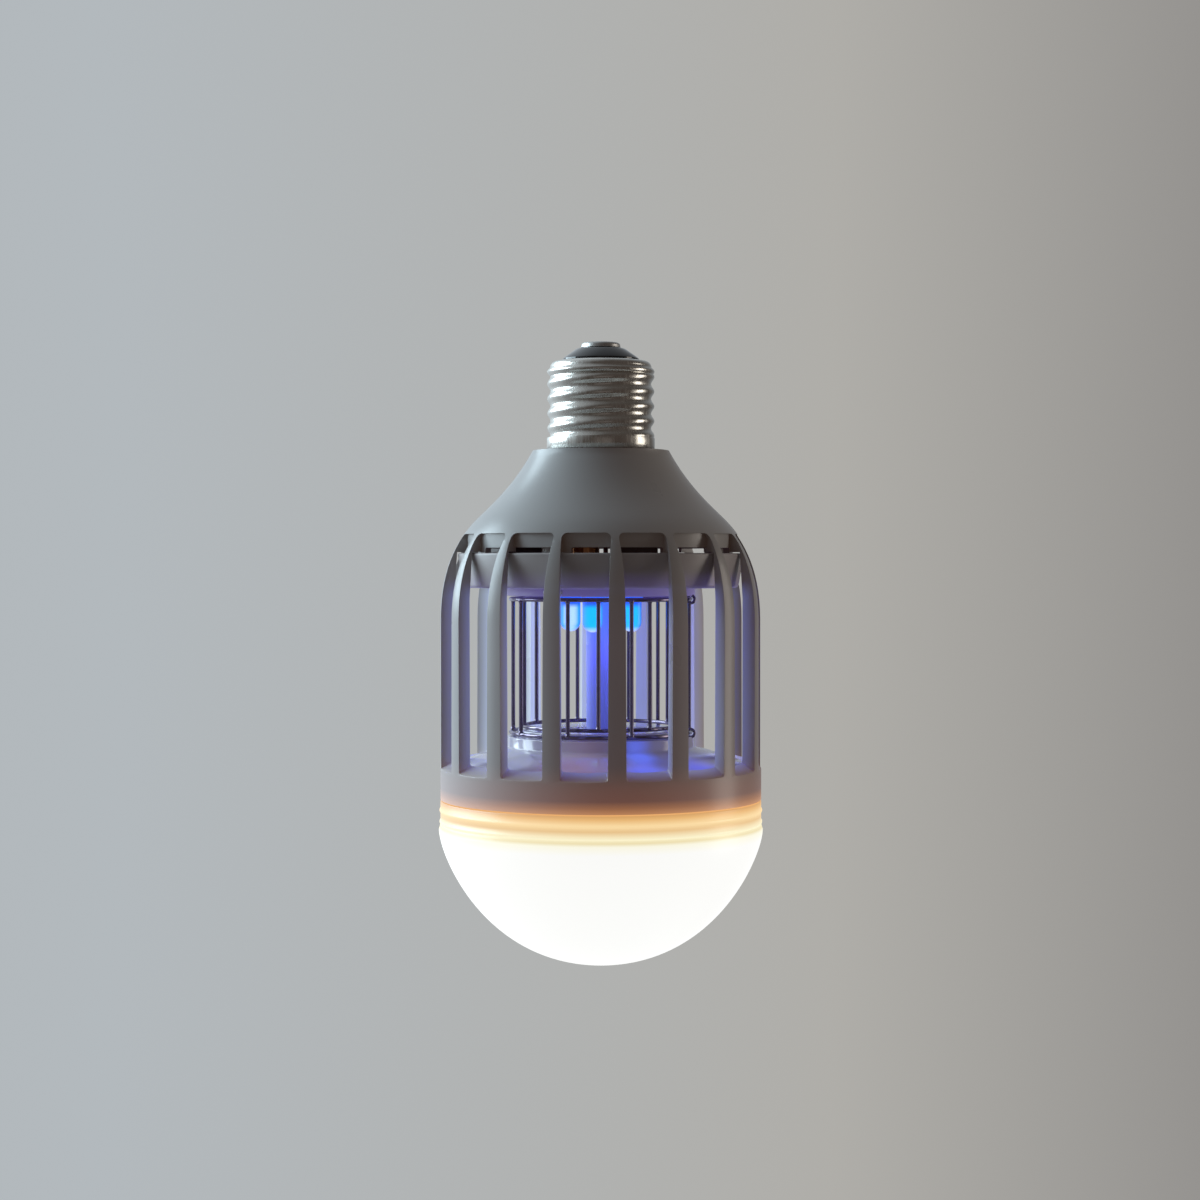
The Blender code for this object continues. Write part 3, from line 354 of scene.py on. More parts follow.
def makeHeightFade():
    # 0 at the low height and 1 at the high one, in metres along Z
    group, given = newGroup("heightFade", {"Low": 0, "High": 1})
    height = partOf(group, objectPlace(group), "Z")
    return closeGroup(group, Fade=addRange(group, height, given["Low"], given["High"]))


def makeCageMasks():
    # masks that place the housing's painted light inside the cage
    # Inward: faces that look at the axis; Depth: how far inside the outer wall
    # Behind: 1 towards the window light
    group, given = newGroup("cageMasks", {"Outer": 0.04, "Inner": 0.036})
    flat = addVector(group, "MULTIPLY", objectPlace(group), (1, 1, 0))
    depth = addRange(group, addVector(group, "LENGTH", flat), given["Outer"], given["Inner"])
    unit = addVector(group, "NORMALIZE", flat)
    normal = group.nodes.new("ShaderNodeNewGeometry").outputs["Normal"]
    inward = addRange(group, addVector(group, "DOT_PRODUCT", unit, normal), -0.3, -0.9)
    behind = addRange(group, addVector(group, "DOT_PRODUCT", unit, (-0.6, 0.8, 0)), -1)
    return closeGroup(group, Inward=inward, Depth=depth, Behind=behind)


def makeLightPool():
    # 1 at the middle of a painted pool of light, 0 at its rim
    group, given = newGroup("lightPool", {"Middle": (0, 0, 0), "Radius": 0.01})
    away = addVector(group, "DISTANCE", objectPlace(group), given["Middle"])
    return closeGroup(group, Mask=addRange(group, away, 0, given["Radius"], 1, 0, "SMOOTHSTEP"))


mouldedSkin = makeMouldedSkin()
drawnMetal = makeDrawnMetal()
heightFade = makeHeightFade()
cageMasks = makeCageMasks()
lightPool = makeLightPool()


# materials

def newMaterial(name):
    material = bpy.data.materials.new(name)
    material.use_nodes = True
    return material, material.node_tree, material.node_tree.nodes["Principled BSDF"]


def addGroup(tree, group, values):
    node = tree.nodes.new("ShaderNodeGroup")
    node.node_tree = group
    return feedNode(tree, node, values).outputs


def fadeBetween(tree, low, high):
    return addGroup(tree, heightFade, {"Low": low, "High": high})["Fade"]


def addSkin(tree, shader, group, values, bump):
    skin = addGroup(tree, group, values)
    feedNode(tree, shader, {"Base Color": skin["Color"], "Roughness": skin["Roughness"]})
    addBump(tree, shader, skin["Height"], bump, 0.02 * mm)


def lightUp(tree, shader, colour, strength=1):
    feedNode(tree, shader, {"Emission Color": colour, "Emission Strength": strength})


def plasticMaterial(name, tint, glossLow, glossHigh, clouding=0.06, grain=2600, bump=0.08, coat=0):
    material, tree, shader = newMaterial(name)
    gloss = {"Gloss Low": glossLow, "Gloss High": glossHigh}
    addSkin(tree, shader, mouldedSkin, {"Tint": tint, "Clouding": clouding, "Grain": grain, **gloss}, bump)
    feedNode(tree, shader, {"IOR": 1.5, "Coat Weight": coat, "Coat Roughness": 0.08})
    return material, tree, shader


def metalMaterial(name, tint, tarnish, glossLow, glossHigh, wear=0.3, bump=0.1):
    material, tree, shader = newMaterial(name)
    gloss = {"Gloss Low": glossLow, "Gloss High": glossHigh}
    addSkin(tree, shader, drawnMetal, {"Tint": tint, "Tarnish": tarnish, "Wear": wear, **gloss}, bump)
    feedNode(tree, shader, {"Metallic": 1})
    return material


def housingMaterial():
    # white plastic with a grey tint that is painted shade; painted light in the emission: the lamp below
    # shines warm through the band, the others fill the cage
    material, tree, shader = plasticMaterial("housingPlastic", (0.352, 0.356, 0.36), 0.27, 0.34)
    # painted light: the warm glow of the lamp below, strongest at the seam
    warmStops = [
        (0, (0.42, 0.17, 0.05)),
        (0.07, (0.23, 0.075, 0.012)),
        (0.15, (0.08, 0.016, 0)),
        (0.3, (0.06, 0.013, 0)),
        (0.4, (0.038, 0.01, 0)),
        (0.55, (0.013, 0.003, 0)),
        (1, (0.007, 0.002, 0)),
    ]
    # painted light on the faces that look at the axis, set by where they stand towards the window light
    throughStops = [
        (0.2, (0.02, 0.02, 0.07)),
        (0.57, (0.2, 0.2, 0.29)),
        (0.7, (0.08, 0.08, 0.16)),
        (0.84, (0.02, 0.03, 0.1)),
        (0.94, (0.08, 0.1, 0.17)),
        (1, (0.1, 0.12, 0.21)),
    ]
    # painted light on the window sides inside the outer wall, set by where they stand towards the window
    # light
    aroundStops = [(0.55, (0.042, 0.06, 0.16)), (0.75, (0.05, 0.06, 0.15)), (1, (0.2, 0.26, 0.36))]
    warm = addRamp(tree, fadeBetween(tree, seamZ, seamZ + 20 * mm), warmStops)
    masks = addGroup(tree, cageMasks, {"Outer": bodyRadius - 0.4 * mm, "Inner": ribInner})
    belowCup = fadeBetween(tree, cupBossZ + 3.5 * mm, cupBossZ)
    # painted light: a faint glow that grows from the cup rim downwards
    paintedGlowFade = fadeBetween(tree, cupRimZ, cupBossZ - 8 * mm)
    glow = addMix(tree, paintedGlowFade, warm, (0.015, 0.008, 0.011), "ADD")
    for maskName, stops in (("Inward", throughStops), ("Depth", aroundStops)):
        mask = addMath(tree, "MULTIPLY", masks[maskName], belowCup)
        glow = addMix(tree, mask, glow, addRamp(tree, masks["Behind"], stops), "ADD")
    lightUp(tree, shader, glow)
    return material


def cupMaterial():
    # painted light: a violet glow painted on the foot of the cup and its boss, where the violet light
    # reaches
    material, tree, shader = plasticMaterial("cupPlastic", (0.39, 0.355, 0.36), 0.3, 0.42)
    stops = [
        (0, (0.05, 0.036, 0.17)),
        (0.18, (0.04, 0.03, 0.13)),
        (0.22, (0.02, 0.013, 0.06)),
        (0.6, (0, 0, 0)),
    ]
    lightUp(tree, shader, addRamp(tree, fadeBetween(tree, cupBossZ, cupRimZ), stops))
    return material


def deckMaterial():
    # glossy floor of the cage with painted pools of blue and lavender light
    material, tree, shader = plasticMaterial(
        "deckPlastic", (0.52, 0.5, 0.55), 0.14, 0.24, 0.05, 900, 0.2, coat=0.6
    )
    # painted light: a faint violet glow over the whole deck
    glow = (0.012, 0.01, 0.045)
    for place, radius, colour in deckPools:
        pool = addGroup(tree, lightPool, {"Middle": place, "Radius": radius})
        glow = addMix(tree, pool["Mask"], glow, colour, "ADD")
    lightUp(tree, shader, glow)
    return material


def diffuserMaterial():
    # frosted shell lit from inside: orange under the seam, cream at the beads, white below
    material, tree, shader = plasticMaterial(
        "frostedShell", (0.16, 0.16, 0.155), 0.3, 0.4, 0.03, 1800, 0.15
    )
    stops = [
        (0, (1, 1, 0.98)),
        (0.22, (1, 0.97, 0.8)),
        (0.3, (0.88, 0.76, 0.45)),
        (0.4, (1, 0.92, 0.62)),
        (0.58, (0.84, 0.56, 0.26)),
        (0.72, (1, 0.74, 0.38)),
        (0.88, (0.84, 0.48, 0.17)),
        (1, (0.6, 0.3, 0.1)),
    ]
    lightUp(tree, shader, addRamp(tree, fadeBetween(tree, seamZ - 9.5 * mm, seamZ), stops), 0.93)
    return material


def tubeMaterial():
    # milky tube, lit blue from above: its blue tint and its glow, brighter towards the top, are painted
    # light
    low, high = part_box("centre_tube")
    material, tree, shader = plasticMaterial("milkyTube", (0.2, 0.23, 0.44), 0.22, 0.32, 0.04)
    stops = [(0, (0.06, 0.07, 0.4)), (0.5, (0.1, 0.15, 0.84)), (1, (0.05, 0.28, 1.15))]
    lightUp(tree, shader, addRamp(tree, fadeBetween(tree, low.z, high.z), stops), 0.55)
    return material


def lensMaterial(name, core):
    # lit ultraviolet LED: bright core, blue rim, blue flange and white tip
    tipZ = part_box("uv_led_1")[0].z
    material, tree, shader = newMaterial(name)
    feedNode(tree, shader, {"Base Color": (0.08, 0.22, 0.7), "Roughness": 0.08, "Coat Weight": 0.5})
    facing = addNode(tree, "ShaderNodeLayerWeight", {"Blend": 0.35}).outputs["Facing"]
    across = addRamp(tree, facing, [(0.05, core), (0.3, (0.02, 0.36, 0.86)), (0.62, (0.01, 0.11, 0.62))])
    height = fadeBetween(tree, tipZ, cupBossZ)
    flange = addRamp(tree, height, [(0.66, (0, 0, 0)), (0.78, (1, 1, 1))])
    tip = addRamp(tree, height, [(0.02, (1, 1, 1)), (0.16, (0, 0, 0))])
    glow = addMix(tree, flange, across, (0.015, 0.1, 0.72))
    lightUp(tree, shader, addMix(tree, tip, glow, (0.45, 0.42, 0.25), "ADD"))
    return material


def boardMaterial(name, tint, mask):
    # lacquered circuit board: copper tracks under the lacquer
    material, tree, shader = newMaterial(name)
    tracks = tree.nodes.new("ShaderNodeTexBrick")
    darker = [0.7 * part for part in tint]
    feedNode(tree, tracks, {"Vector": objectPlace(tree), "Scale": 180, "Mortar Size": 0.05})
    feedNode(tree, tracks, {"Color1": tint, "Color2": darker, "Mortar": mask})
    feedNode(tree, shader, {"Base Color": tracks.outputs["Color"], "Roughness": 0.35})
    addBump(tree, shader, tracks.outputs["Fac"], 0.3, 0.04 * mm)
    return material


# painted pools of light on the deck: middle, radius, colour
deckFrontZ = deckTopZ - 4.6 * mm
deckPools = [
    ((-3 * mm, -33 * mm, deckFrontZ), 17 * mm, (0.105, 0.03, 0.02)),
    ((14 * mm, -32 * mm, deckFrontZ), 8.5 * mm, (0.05, 0.1, 1)),
    ((12 * mm, -24 * mm, deckFrontZ + 2 * mm), 7 * mm, (0.035, 0.12, 1)),
    ((27 * mm, -23 * mm, deckFrontZ), 11 * mm, (0.04, 0.055, 0.66)),
    ((8 * mm, 26 * mm, deckFrontZ), 9 * mm, (0.015, 0.03, 0.3)),
    ((-27 * mm, 12 * mm, deckFrontZ), 9 * mm, (0.015, 0.03, 0.25)),
]

# colour, low and high roughness, clouding, grain, bump, coat
plastics = {
    "blackGlass": ((0.012, 0.012, 0.014), 0.06, 0.14, 0.2, 900, 0.05, 0.4),
    "chipPhosphor": ((0.85, 0.68, 0.16), 0.25, 0.4, 0.2),
    "coilTape": ((0.68, 0.54, 0.1), 0.35, 0.5, 0.2),
    "canSleeve": ((0.02, 0.02, 0.03), 0.25, 0.4, 0.1),
    "filmCoating": ((0.16, 0.05, 0.03), 0.22, 0.36, 0.2),
    "resistorCoating": ((0.14, 0.07, 0.045), 0.35, 0.5, 0.2),
    "leadRed": ((0.5, 0.03, 0.02), 0.4, 0.52, 0.1),
    "leadBlack": ((0.02, 0.02, 0.02), 0.4, 0.52, 0.1),
}

# colour, tarnish, low and high roughness, wear
metals = {
    # gridSteel: the violet cast of its tint and tarnish is painted violet light, its darkness painted shade
    "gridSteel": ((0.24, 0.205, 0.28), (0.09, 0.075, 0.12), 0.12, 0.22, 0.35),
    "capNickel": ((0.74, 0.73, 0.69), (0.45, 0.42, 0.36), 0.16, 0.34, 0.35),
    "solder": ((0.62, 0.62, 0.61), (0.38, 0.37, 0.35), 0.3, 0.5, 0.5),
    "screwSteel": ((0.52, 0.52, 0.54), (0.26, 0.25, 0.24), 0.22, 0.4, 0.4),
    "plateAluminium": ((0.74, 0.74, 0.76), (0.5, 0.5, 0.51), 0.28, 0.42, 0.3),
    "windingCopper": ((0.72, 0.33, 0.14), (0.35, 0.14, 0.06), 0.25, 0.38, 0.3),
}

materials = {
    "housing": housingMaterial(),
    "cup": cupMaterial(),
    "deck": deckMaterial(),
    "tube": tubeMaterial(),
    "dome": diffuserMaterial(),
    "uvLensPale": lensMaterial("uvLensPale", (0.46, 0.7, 0.92)),
    "uvLens": lensMaterial("uvLens", (0, 0.52, 0.88)),
    "boardGreen": boardMaterial("boardGreen", (0.03, 0.17, 0.08), (0.1, 0.3, 0.14)),
    "boardWhite": boardMaterial("boardWhite", (0.75, 0.75, 0.73), (0.62, 0.6, 0.55)),
}
for name, values in plastics.items():
    materials[name] = plasticMaterial(name, *values)[0]
for name, values in metals.items():
    materials[name] = metalMaterial(name, *values)
print("materials ready")


# cage housing: cone, ribs, band and inner skirt

cup = {
    "steps": 120,
    "wall": 2 * mm,
    "taper": 1.2 * mm,
    "depth": 8.4 * mm,
    "floor": 2 * mm,
    "bossRadius": 23.2 * mm,
    "bore": 3.9 * mm,
    "lip": 0.45 * mm,
    "mouthDepth": 2.3 * mm,
    "edge": 0.25 * mm,
}

housing = {
    "steps": 80,
    "firstColumn": 2.25,
    "capRadius": 13.2 * mm,
    "land": 3.6 * mm,
    "overhang": 9.5 * mm,
    "flareDrop": 16.4 * mm,
    "shoulderDrop": 25.1 * mm,
    "topPull": Vector((4.3, -7.8)) * mm,
    "waistPull": Vector((4.65, -4.45)) * mm,
    "endPull": 13.45 * mm,
    "wall": 2 * mm,
    "neckRadius": 11.7 * mm,
    "neckWall": 1.5 * mm,
    "ribs": 16,
    "ribWidth": 4.3 * mm,
    "neckStep": 0.8 * mm,
    "kneeDrop": 11 * mm,
    "rimDrop": 4.3 * mm,
    "bandHeight": 7.4 * mm,
    "bandWall": 1.95 * mm,
    "bandFlange": 2.1 * mm,
    "bandRows": (3 * mm, -0.5 * mm, -1.5 * mm),
    "seamRow": 0.4 * mm,
    "ledgeDrop": 2 * mm,
    "topRound": 1.4 * mm,
    "windowFlare": 0.26 * mm,
    "headLift": 0.4 * mm,
    "footRound": 0.5 * mm,
    "edge": 0.28 * mm,
    "rim": 0.62 * mm,
    "skirtWall": 1.6 * mm,
    "skirtLap": 2 * mm,
    "skirtRise": 0.6 * mm,
    "shelfWidth": 1.9 * mm,
    "shelfHeight": 2.4 * mm,
    "vents": 8,
    "ventDeg": 38.5,
    "ventFirst": 12.9,
    "ventShow": 1.3 * mm,
    "ventRound": 0.5 * mm,
    "boss": 2.6 * mm,
    "pilot": 1.4 * mm,
}

windowHalf = bodyRadius * math.sin(math.pi / housing["ribs"]) - housing["ribWidth"] / 2
windowTopZ = cupRimZ + housing["rimDrop"]
windowFootZ = seamZ + housing["bandHeight"]
ledgeTopZ = windowFootZ + housing["ledgeDrop"]
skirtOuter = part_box("driver_board")[1].x + gap + housing["skirtWall"]
skirtInner = skirtOuter - housing["skirtWall"]


def housingContour():
    size = housing
    top = Vector((size["capRadius"] + size["land"], 0))
    waist = Vector((bodyRadius - size["overhang"], -size["flareDrop"]))
    end = Vector((bodyRadius, waist.y - size["shoulderDrop"]))
    above = end + Vector((0, size["endPull"]))
    flare = curvePoints(top, top + size["topPull"], waist - size["waistPull"], waist, 12)
    shoulder = curvePoints(waist, waist + size["waistPull"], above, end, 16)
    return [top] + flare + shoulder


def insetPoints(points, distance):
    moved = []
    for index, point in enumerate(points):
        along = points[min(index + 1, len(points) - 1)] - points[max(index - 1, 0)]
        along.normalize()
        moved.append(point + Vector((along.y, -along.x)) * distance)
    return moved


def moveWhere(piece, wanted, step):
    bpy.context.tool_settings.mesh_select_mode = (True, False, False)
    for part in (*piece.data.edges, *piece.data.polygons):
        part.select = False
    for corner in piece.data.vertices:
        corner.select = wanted(corner.co)
    editOn(piece)
    bpy.ops.transform.translate(value=step)
    editOff()


def bevelSelected(piece, width, segments, clamp=False):
    for part in (*piece.data.vertices, *piece.data.polygons):
        part.select = False
    editOn(piece)
    bpy.ops.mesh.bevel(offset=width, segments=segments, affect="EDGES", clamp_overlap=clamp)
    editOff()


def roundEdges(piece, wanted, width, segments):
    # bevels the edges that run outwards and have both heights in the wanted range
    bpy.context.tool_settings.mesh_select_mode = (False, True, False)
    for edge in piece.data.edges:
        near, far = [piece.data.vertices[index].co for index in edge.vertices]
        edge.select = abs(near.x - far.x) > mm and wanted(near.z) and wanted(far.z)
    bevelSelected(piece, width, segments)


def contourRadius(height, contour):
    for above, below in zip(contour, contour[1:]):
        if above.y >= height > below.y:
            share = (above.y - height) / (above.y - below.y)
            return above.x + (below.x - above.x) * share
    return bodyRadius


def roundWindowRims(piece, contour, width):
    # the outer rim of every window below its head: sharp edges that lie on the outer surface
    editOn(piece)
    bpy.ops.mesh.select_mode(type="EDGE")
    bpy.ops.mesh.select_all(action="DESELECT")
    bpy.ops.mesh.edges_select_sharp(sharpness=math.radians(45))
    editOff()
    low = windowFootZ - mm
    high = windowTopZ - housing["topRound"]
    for edge in piece.data.edges:
        ends = [piece.data.vertices[index].co for index in edge.vertices]
        onRim = all(p.xy.length > contourRadius(p.z, contour) - 0.04 * mm for p in ends)
        edge.select = edge.select and onRim and all(low < p.z < high for p in ends)
    bevelSelected(piece, width, 4, clamp=True)


def windowCutter():
    # one window: a box whose floor slopes out and down, with rounded corners
    size = housing
    depth = bodyRadius - ribInner
    near, far = skirtInner, bodyRadius + depth
    slope = size["ledgeDrop"] / depth
    middle = (windowTopZ + ledgeTopZ) / 2
    window = addBox(((near + far) / 2, 0, middle), (far - near, 2 * windowHalf, windowTopZ - ledgeTopZ))
    for side in (-1, 1):
        step = (0, side * size["windowFlare"], size["headLift"])
        moveWhere(window, lambda p: p.y * side > 0 and p.z > middle, step)
    moveWhere(window, lambda p: p.z < middle and p.x < ribInner, (0, 0, (ribInner - near) * slope))
    moveWhere(window, lambda p: p.z < middle and p.x > ribInner, (0, 0, (ribInner - far) * slope))
    roundEdges(window, lambda z: z > middle, size["topRound"], 4)
    roundEdges(window, lambda z: z < middle, size["footRound"], 3)
    return window


def ventCutter():
    # one slot that opens the skirt from its lower edge, its sides on the radius
    size = housing
    top = cupRimZ + size["ventShow"]
    low = cupRimZ - size["skirtLap"] - mm
    near, far = 0.9 * skirtInner, skirtOuter + mm
    spread = math.tan(math.radians(size["ventDeg"] / 2))
    slot = addBox(((near + far) / 2, 0, (top + low) / 2), (far - near, 2 * spread * near, top - low))
    for side in (-1, 1):
        step = (0, side * spread * (far - near), 0)
        moveWhere(slot, lambda p: p.x * p.y * side > 0 and p.x > skirtInner, step)
    roundEdges(slot, lambda z: z > cupRimZ, size["ventRound"], 3)
    return slot


def skirtRing():
    size = housing
    shelfZ = windowTopZ - gap
    topZ = shelfZ + size["shelfHeight"]
    footZ = cupRimZ - size["skirtLap"]
    shelfInner = skirtInner - size["shelfWidth"]
    outline = [(shelfInner, topZ), (bodyRadius - size["overhang"], topZ)]
    outline += [(skirtOuter, windowTopZ + size["skirtRise"]), (skirtOuter, footZ), (skirtInner, footZ)]
    outline += [(skirtInner, shelfZ), (shelfInner, shelfZ)]
    ring = spinOutline(outline, size["steps"], startDeg=size["firstColumn"])
    carve(ring, repeatRound(ventCutter(), size["vents"], size["ventFirst"]))
    return ring


def screwBoss(node):
    # post behind the vents; the fixing screw bites into its pilot hole
    size = housing
    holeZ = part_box(node)[1].z + gap
    bottom = cupRimZ - cup["depth"] + cup["floor"] + gap
    edge = size["edge"] / 2
    outline = [(0, windowTopZ), (size["boss"], windowTopZ), (size["boss"], bottom + edge)]
    outline += [(size["boss"] - edge, bottom), (size["pilot"], bottom), (size["pilot"], holeZ), (0, holeZ)]
    post = spinOutline(outline, 32, closed=False)
    standOver(post, node)
    return post


def makeHousing():
    size = housing
    contour = housingContour()
    upper = [point for point in contour if point.y > windowTopZ]
    skirtMiddle = skirtOuter - size["skirtWall"] / 2
    neck = size["neckRadius"]
    neckInner = neck - size["neckWall"]
    bandInner = bodyRadius - size["bandWall"]
    inner = insetPoints(upper, size["wall"])
    inner = [point for point in inner if neck < point.x < skirtMiddle - gap]
    grooveZ = cupRimZ + gap
    flangeZ = ledgeTopZ - size["bandFlange"]
    outline = [(neckInner, cageHigh.z), (neck, cageHigh.z), (neck, 0)] + contour
    outline += [(bodyRadius, windowFootZ + row) for row in size["bandRows"]]
    outline += [(bodyRadius, seamZ + size["seamRow"]), (bodyRadius, seamZ), (bandInner, seamZ)]
    outline += [(bandInner, flangeZ), (ribInner, flangeZ), (ribInner, cupRimZ - size["kneeDrop"])]
    outline += [(ribInner - size["neckStep"], grooveZ), (skirtMiddle, grooveZ)]
    outline.append((skirtMiddle, windowTopZ - mm))
    outline += reversed(inner)
    outline.append((neckInner, -size["wall"]))
    shell = spinOutline(outline, size["steps"], startDeg=size["firstColumn"])
    carve(shell, repeatRound(windowCutter(), size["ribs"]))
    carve(shell, skirtRing(), "UNION")
    for node in ("cup_screw_1", "cup_screw_2"):
        carve(shell, screwBoss(node), "UNION")
    roundWindowRims(shell, contour, size["rim"])
    softenEdges(shell, size["edge"])
    finishPiece(shell, "cageShell", "housing_white", "housing", "cage_housing")


makeHousing()
print("cage housing made")


# inner cup, its screws and the centre tube

def makeCup():
    size = cup
    edge, lip, boss = size["edge"], size["lip"], size["bossRadius"]
    rimRadius = cupHigh.x
    mouth = rimRadius - size["wall"]
    bottomZ = cupRimZ - size["depth"]
    floorZ = bottomZ + size["floor"]
    outline = [(mouth, cupRimZ - lip / 2), (mouth + lip / 2, cupRimZ)]
    outline += arcPoints((rimRadius - lip, cupRimZ - lip), lip, 90, 0, 4)
    outline += arcPoints((rimRadius - size["taper"] - 2 * lip, bottomZ + 2 * lip), 2 * lip, 0, -90, 6)
    outline += [(boss + edge, bottomZ), (boss, bottomZ - edge), (boss, cupBossZ + edge)]
    outline += [(boss - edge, cupBossZ), (size["bore"], cupBossZ), (size["bore"], floorZ)]
    outline += [(mouth - size["taper"], floorZ), (mouth, cupRimZ - size["mouthDepth"])]
    pot = spinOutline(outline, size["steps"])
    finishPiece(pot, "innerCup", "housing_white", "cup", "lamp_cup", angle=30)


screw = {
    "head": 1.4 * mm,
    "flank": 0.6 * mm,
    "round": 0.8 * mm,
    "bevel": (0.1 * mm, 0.15 * mm),
    "shank": 1.1 * mm,
    "point": (0.4 * mm, 1.2 * mm),
    "recess": (2.2 * mm, 0.5 * mm, 1.3 * mm),
    "recessTurn": 0.4,
}


def makeScrew(node):
    # pan head with a cross recess, seen from below between the ribs
    size = screw
    low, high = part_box(node)
    radius = (high.x - low.x) / 2
    headZ = low.z + size["head"]
    bevelWidth, bevelHeight = size["bevel"]
    pointRadius, pointHeight = size["point"]
    outline = [(0, high.z), (pointRadius, high.z), (size["shank"], high.z - pointHeight)]
    outline += [(size["shank"], headZ), (radius - bevelWidth, headZ), (radius, headZ - bevelHeight)]
    outline += arcPoints((radius - size["round"], headZ - size["flank"]), size["round"], 0, -90, 5)
    outline.append((0, low.z))
    body = spinOutline(outline, 32, closed=False)
    for turn in (0, math.pi / 2):
        carve(body, addBox((0, 0, low.z), size["recess"], turn + size["recessTurn"]))
    standOver(body, node)
    label = node.replace("_", " ").title().replace(" ", "")
    finishPiece(body, "fixing" + label, "screw_steel", "screwSteel", node)


tube = {"wall": 1.2 * mm, "edge": 0.2 * mm}


def makeTube():
    low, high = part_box("centre_tube")
    radius = high.x
    bore = radius - tube["wall"]
    edge = tube["edge"]
    outline = [(bore, high.z), (radius - edge, high.z), (radius, high.z - edge)]
    outline += [(radius, low.z + edge), (radius - edge, low.z), (bore, low.z)]
    finishPiece(spinOutline(outline, 48), "wireTube", "tube_white", "tube", "centre_tube")


makeCup()
makeTube()
for screwNode in ("cup_screw_1", "cup_screw_2", "plate_screw_1", "plate_screw_2"):
    makeScrew(screwNode)
print("cup, tube and screws made")


# electric grid: each electrode is its rods, its two rings and the weld at each joint

grid = {
    "rods": 9,
    "rodSides": 16,
    "ringCounts": (108, 14),
    "weld": 0.75 * mm,
    "weldWidth": 0.85,
    "weldLift": 0.8,
    "curlCounts": (32, 10),
    "curlDeg": -9,
    "curlReach": 22.7 * mm,
    "curlRadius": mm,
    "curlWire": 0.7,
    "curlTilt": 78,
    "curlTurn": 25,
}


def wireCurl(height, wire):
    # the end of the ring wire, curled into a small eye
    place = onCircle(grid["curlReach"], grid["curlDeg"])
    turn = (math.radians(grid["curlTilt"]), 0, math.radians(grid["curlDeg"] + grid["curlTurn"]))
    return wireRing(grid["curlRadius"], grid["curlWire"] * wire, grid["curlCounts"], (*place, height), turn)


def weldBead(place):
    bpy.ops.mesh.primitive_uv_sphere_add(segments=12, ring_count=8, radius=1, location=place)
    bead = bpy.context.object
    bead.scale = (grid["weld"] * grid["weldWidth"], grid["weld"] * grid["weldWidth"], grid["weld"])
    return applyPlace(bead)


def makeElectrode(label, pieceName):
    rodNodes = [f"{label}_rod_{index + 1}" for index in range(grid["rods"])]
    ringNodes = [f"{label}_ring_upper", f"{label}_ring_lower"]
    parts = []
    ringHeights = []
    for node in ringNodes:
        low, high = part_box(node)
        wire = (high.z - low.z) / 2 / math.cos(math.pi / 6)
        ringHeights.append((low.z + high.z) / 2)
        parts.append(wireRing(high.x - wire, wire, grid["ringCounts"], (0, 0, ringHeights[-1])))
    for node in rodNodes:
        low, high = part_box(node)
        centre = (low + high) / 2
        radius = (high.x - low.x) / 2
        parts.append(uprightRod(radius, ringHeights[1], ringHeights[0], centre, grid["rodSides"]))
        for side, height in zip((-1, 1), ringHeights):
            parts.append(weldBead((centre.x, centre.y, height + side * radius * grid["weldLift"])))
    if label == "outer_grid":
        parts += [wireCurl(height, wire) for height in ringHeights]
    cage = joinPieces(parts)
    finishPiece(cage, pieceName, "grid_steel", "gridSteel", *rodNodes, *ringNodes, angle=50)


makeElectrode("outer_grid", "outerElectrode")
makeElectrode("inner_grid", "innerElectrode")
print("grid made")


# ultraviolet LEDs

uvLamp = {
    "radius": 2.5 * mm,
    "flange": 2.9 * mm,
    "flangeHeight": mm,
    "flangeEdge": 0.1 * mm,
    "fillet": 0.08 * mm,
    "legSpread": 1.27 * mm,
    "leg": 0.25 * mm,
    "legLap": 0.2 * mm,
    "palest": 3,
}


def makeUvLed(index):
    node = f"uv_led_{index}"
    size = uvLamp
    low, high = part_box(node)
    centre = (low + high) / 2
    top = cupBossZ - gap
    foot = top - size["flangeHeight"]
    radius, flange, edge, fillet = size["radius"], size["flange"], size["flangeEdge"], size["fillet"]
    outline = [(0, top), (flange - edge, top), (flange, top - edge), (flange, foot + edge)]
    outline += [(flange - edge, foot), (radius + fillet, foot), (radius, foot - fillet)]
    outline += arcPoints((0, low.z + radius), radius, 0, -90, 12)
    lens = spinOutline(outline, 40, closed=False)
    standOver(lens, node)
    across = onCircle(size["legSpread"], math.degrees(math.atan2(centre.y, centre.x)) + 90)
    legs = []
    for side in (-1, 1):
        place = Vector((centre.x, centre.y)) + across * side
        legs.append(uprightRod(size["leg"], top - size["legLap"], high.z, place, 8))
    lamp = joinPieces([lens] + legs)
    look = "uvLensPale" if index == size["palest"] else "uvLens"
    finishPiece(lamp, f"uvLamp{index}", "uv_lens", look, node, angle=40)


for lampIndex in range(1, 5):
    makeUvLed(lampIndex)
print("ultraviolet LEDs made")


# lower deck: the glossy floor of the cage

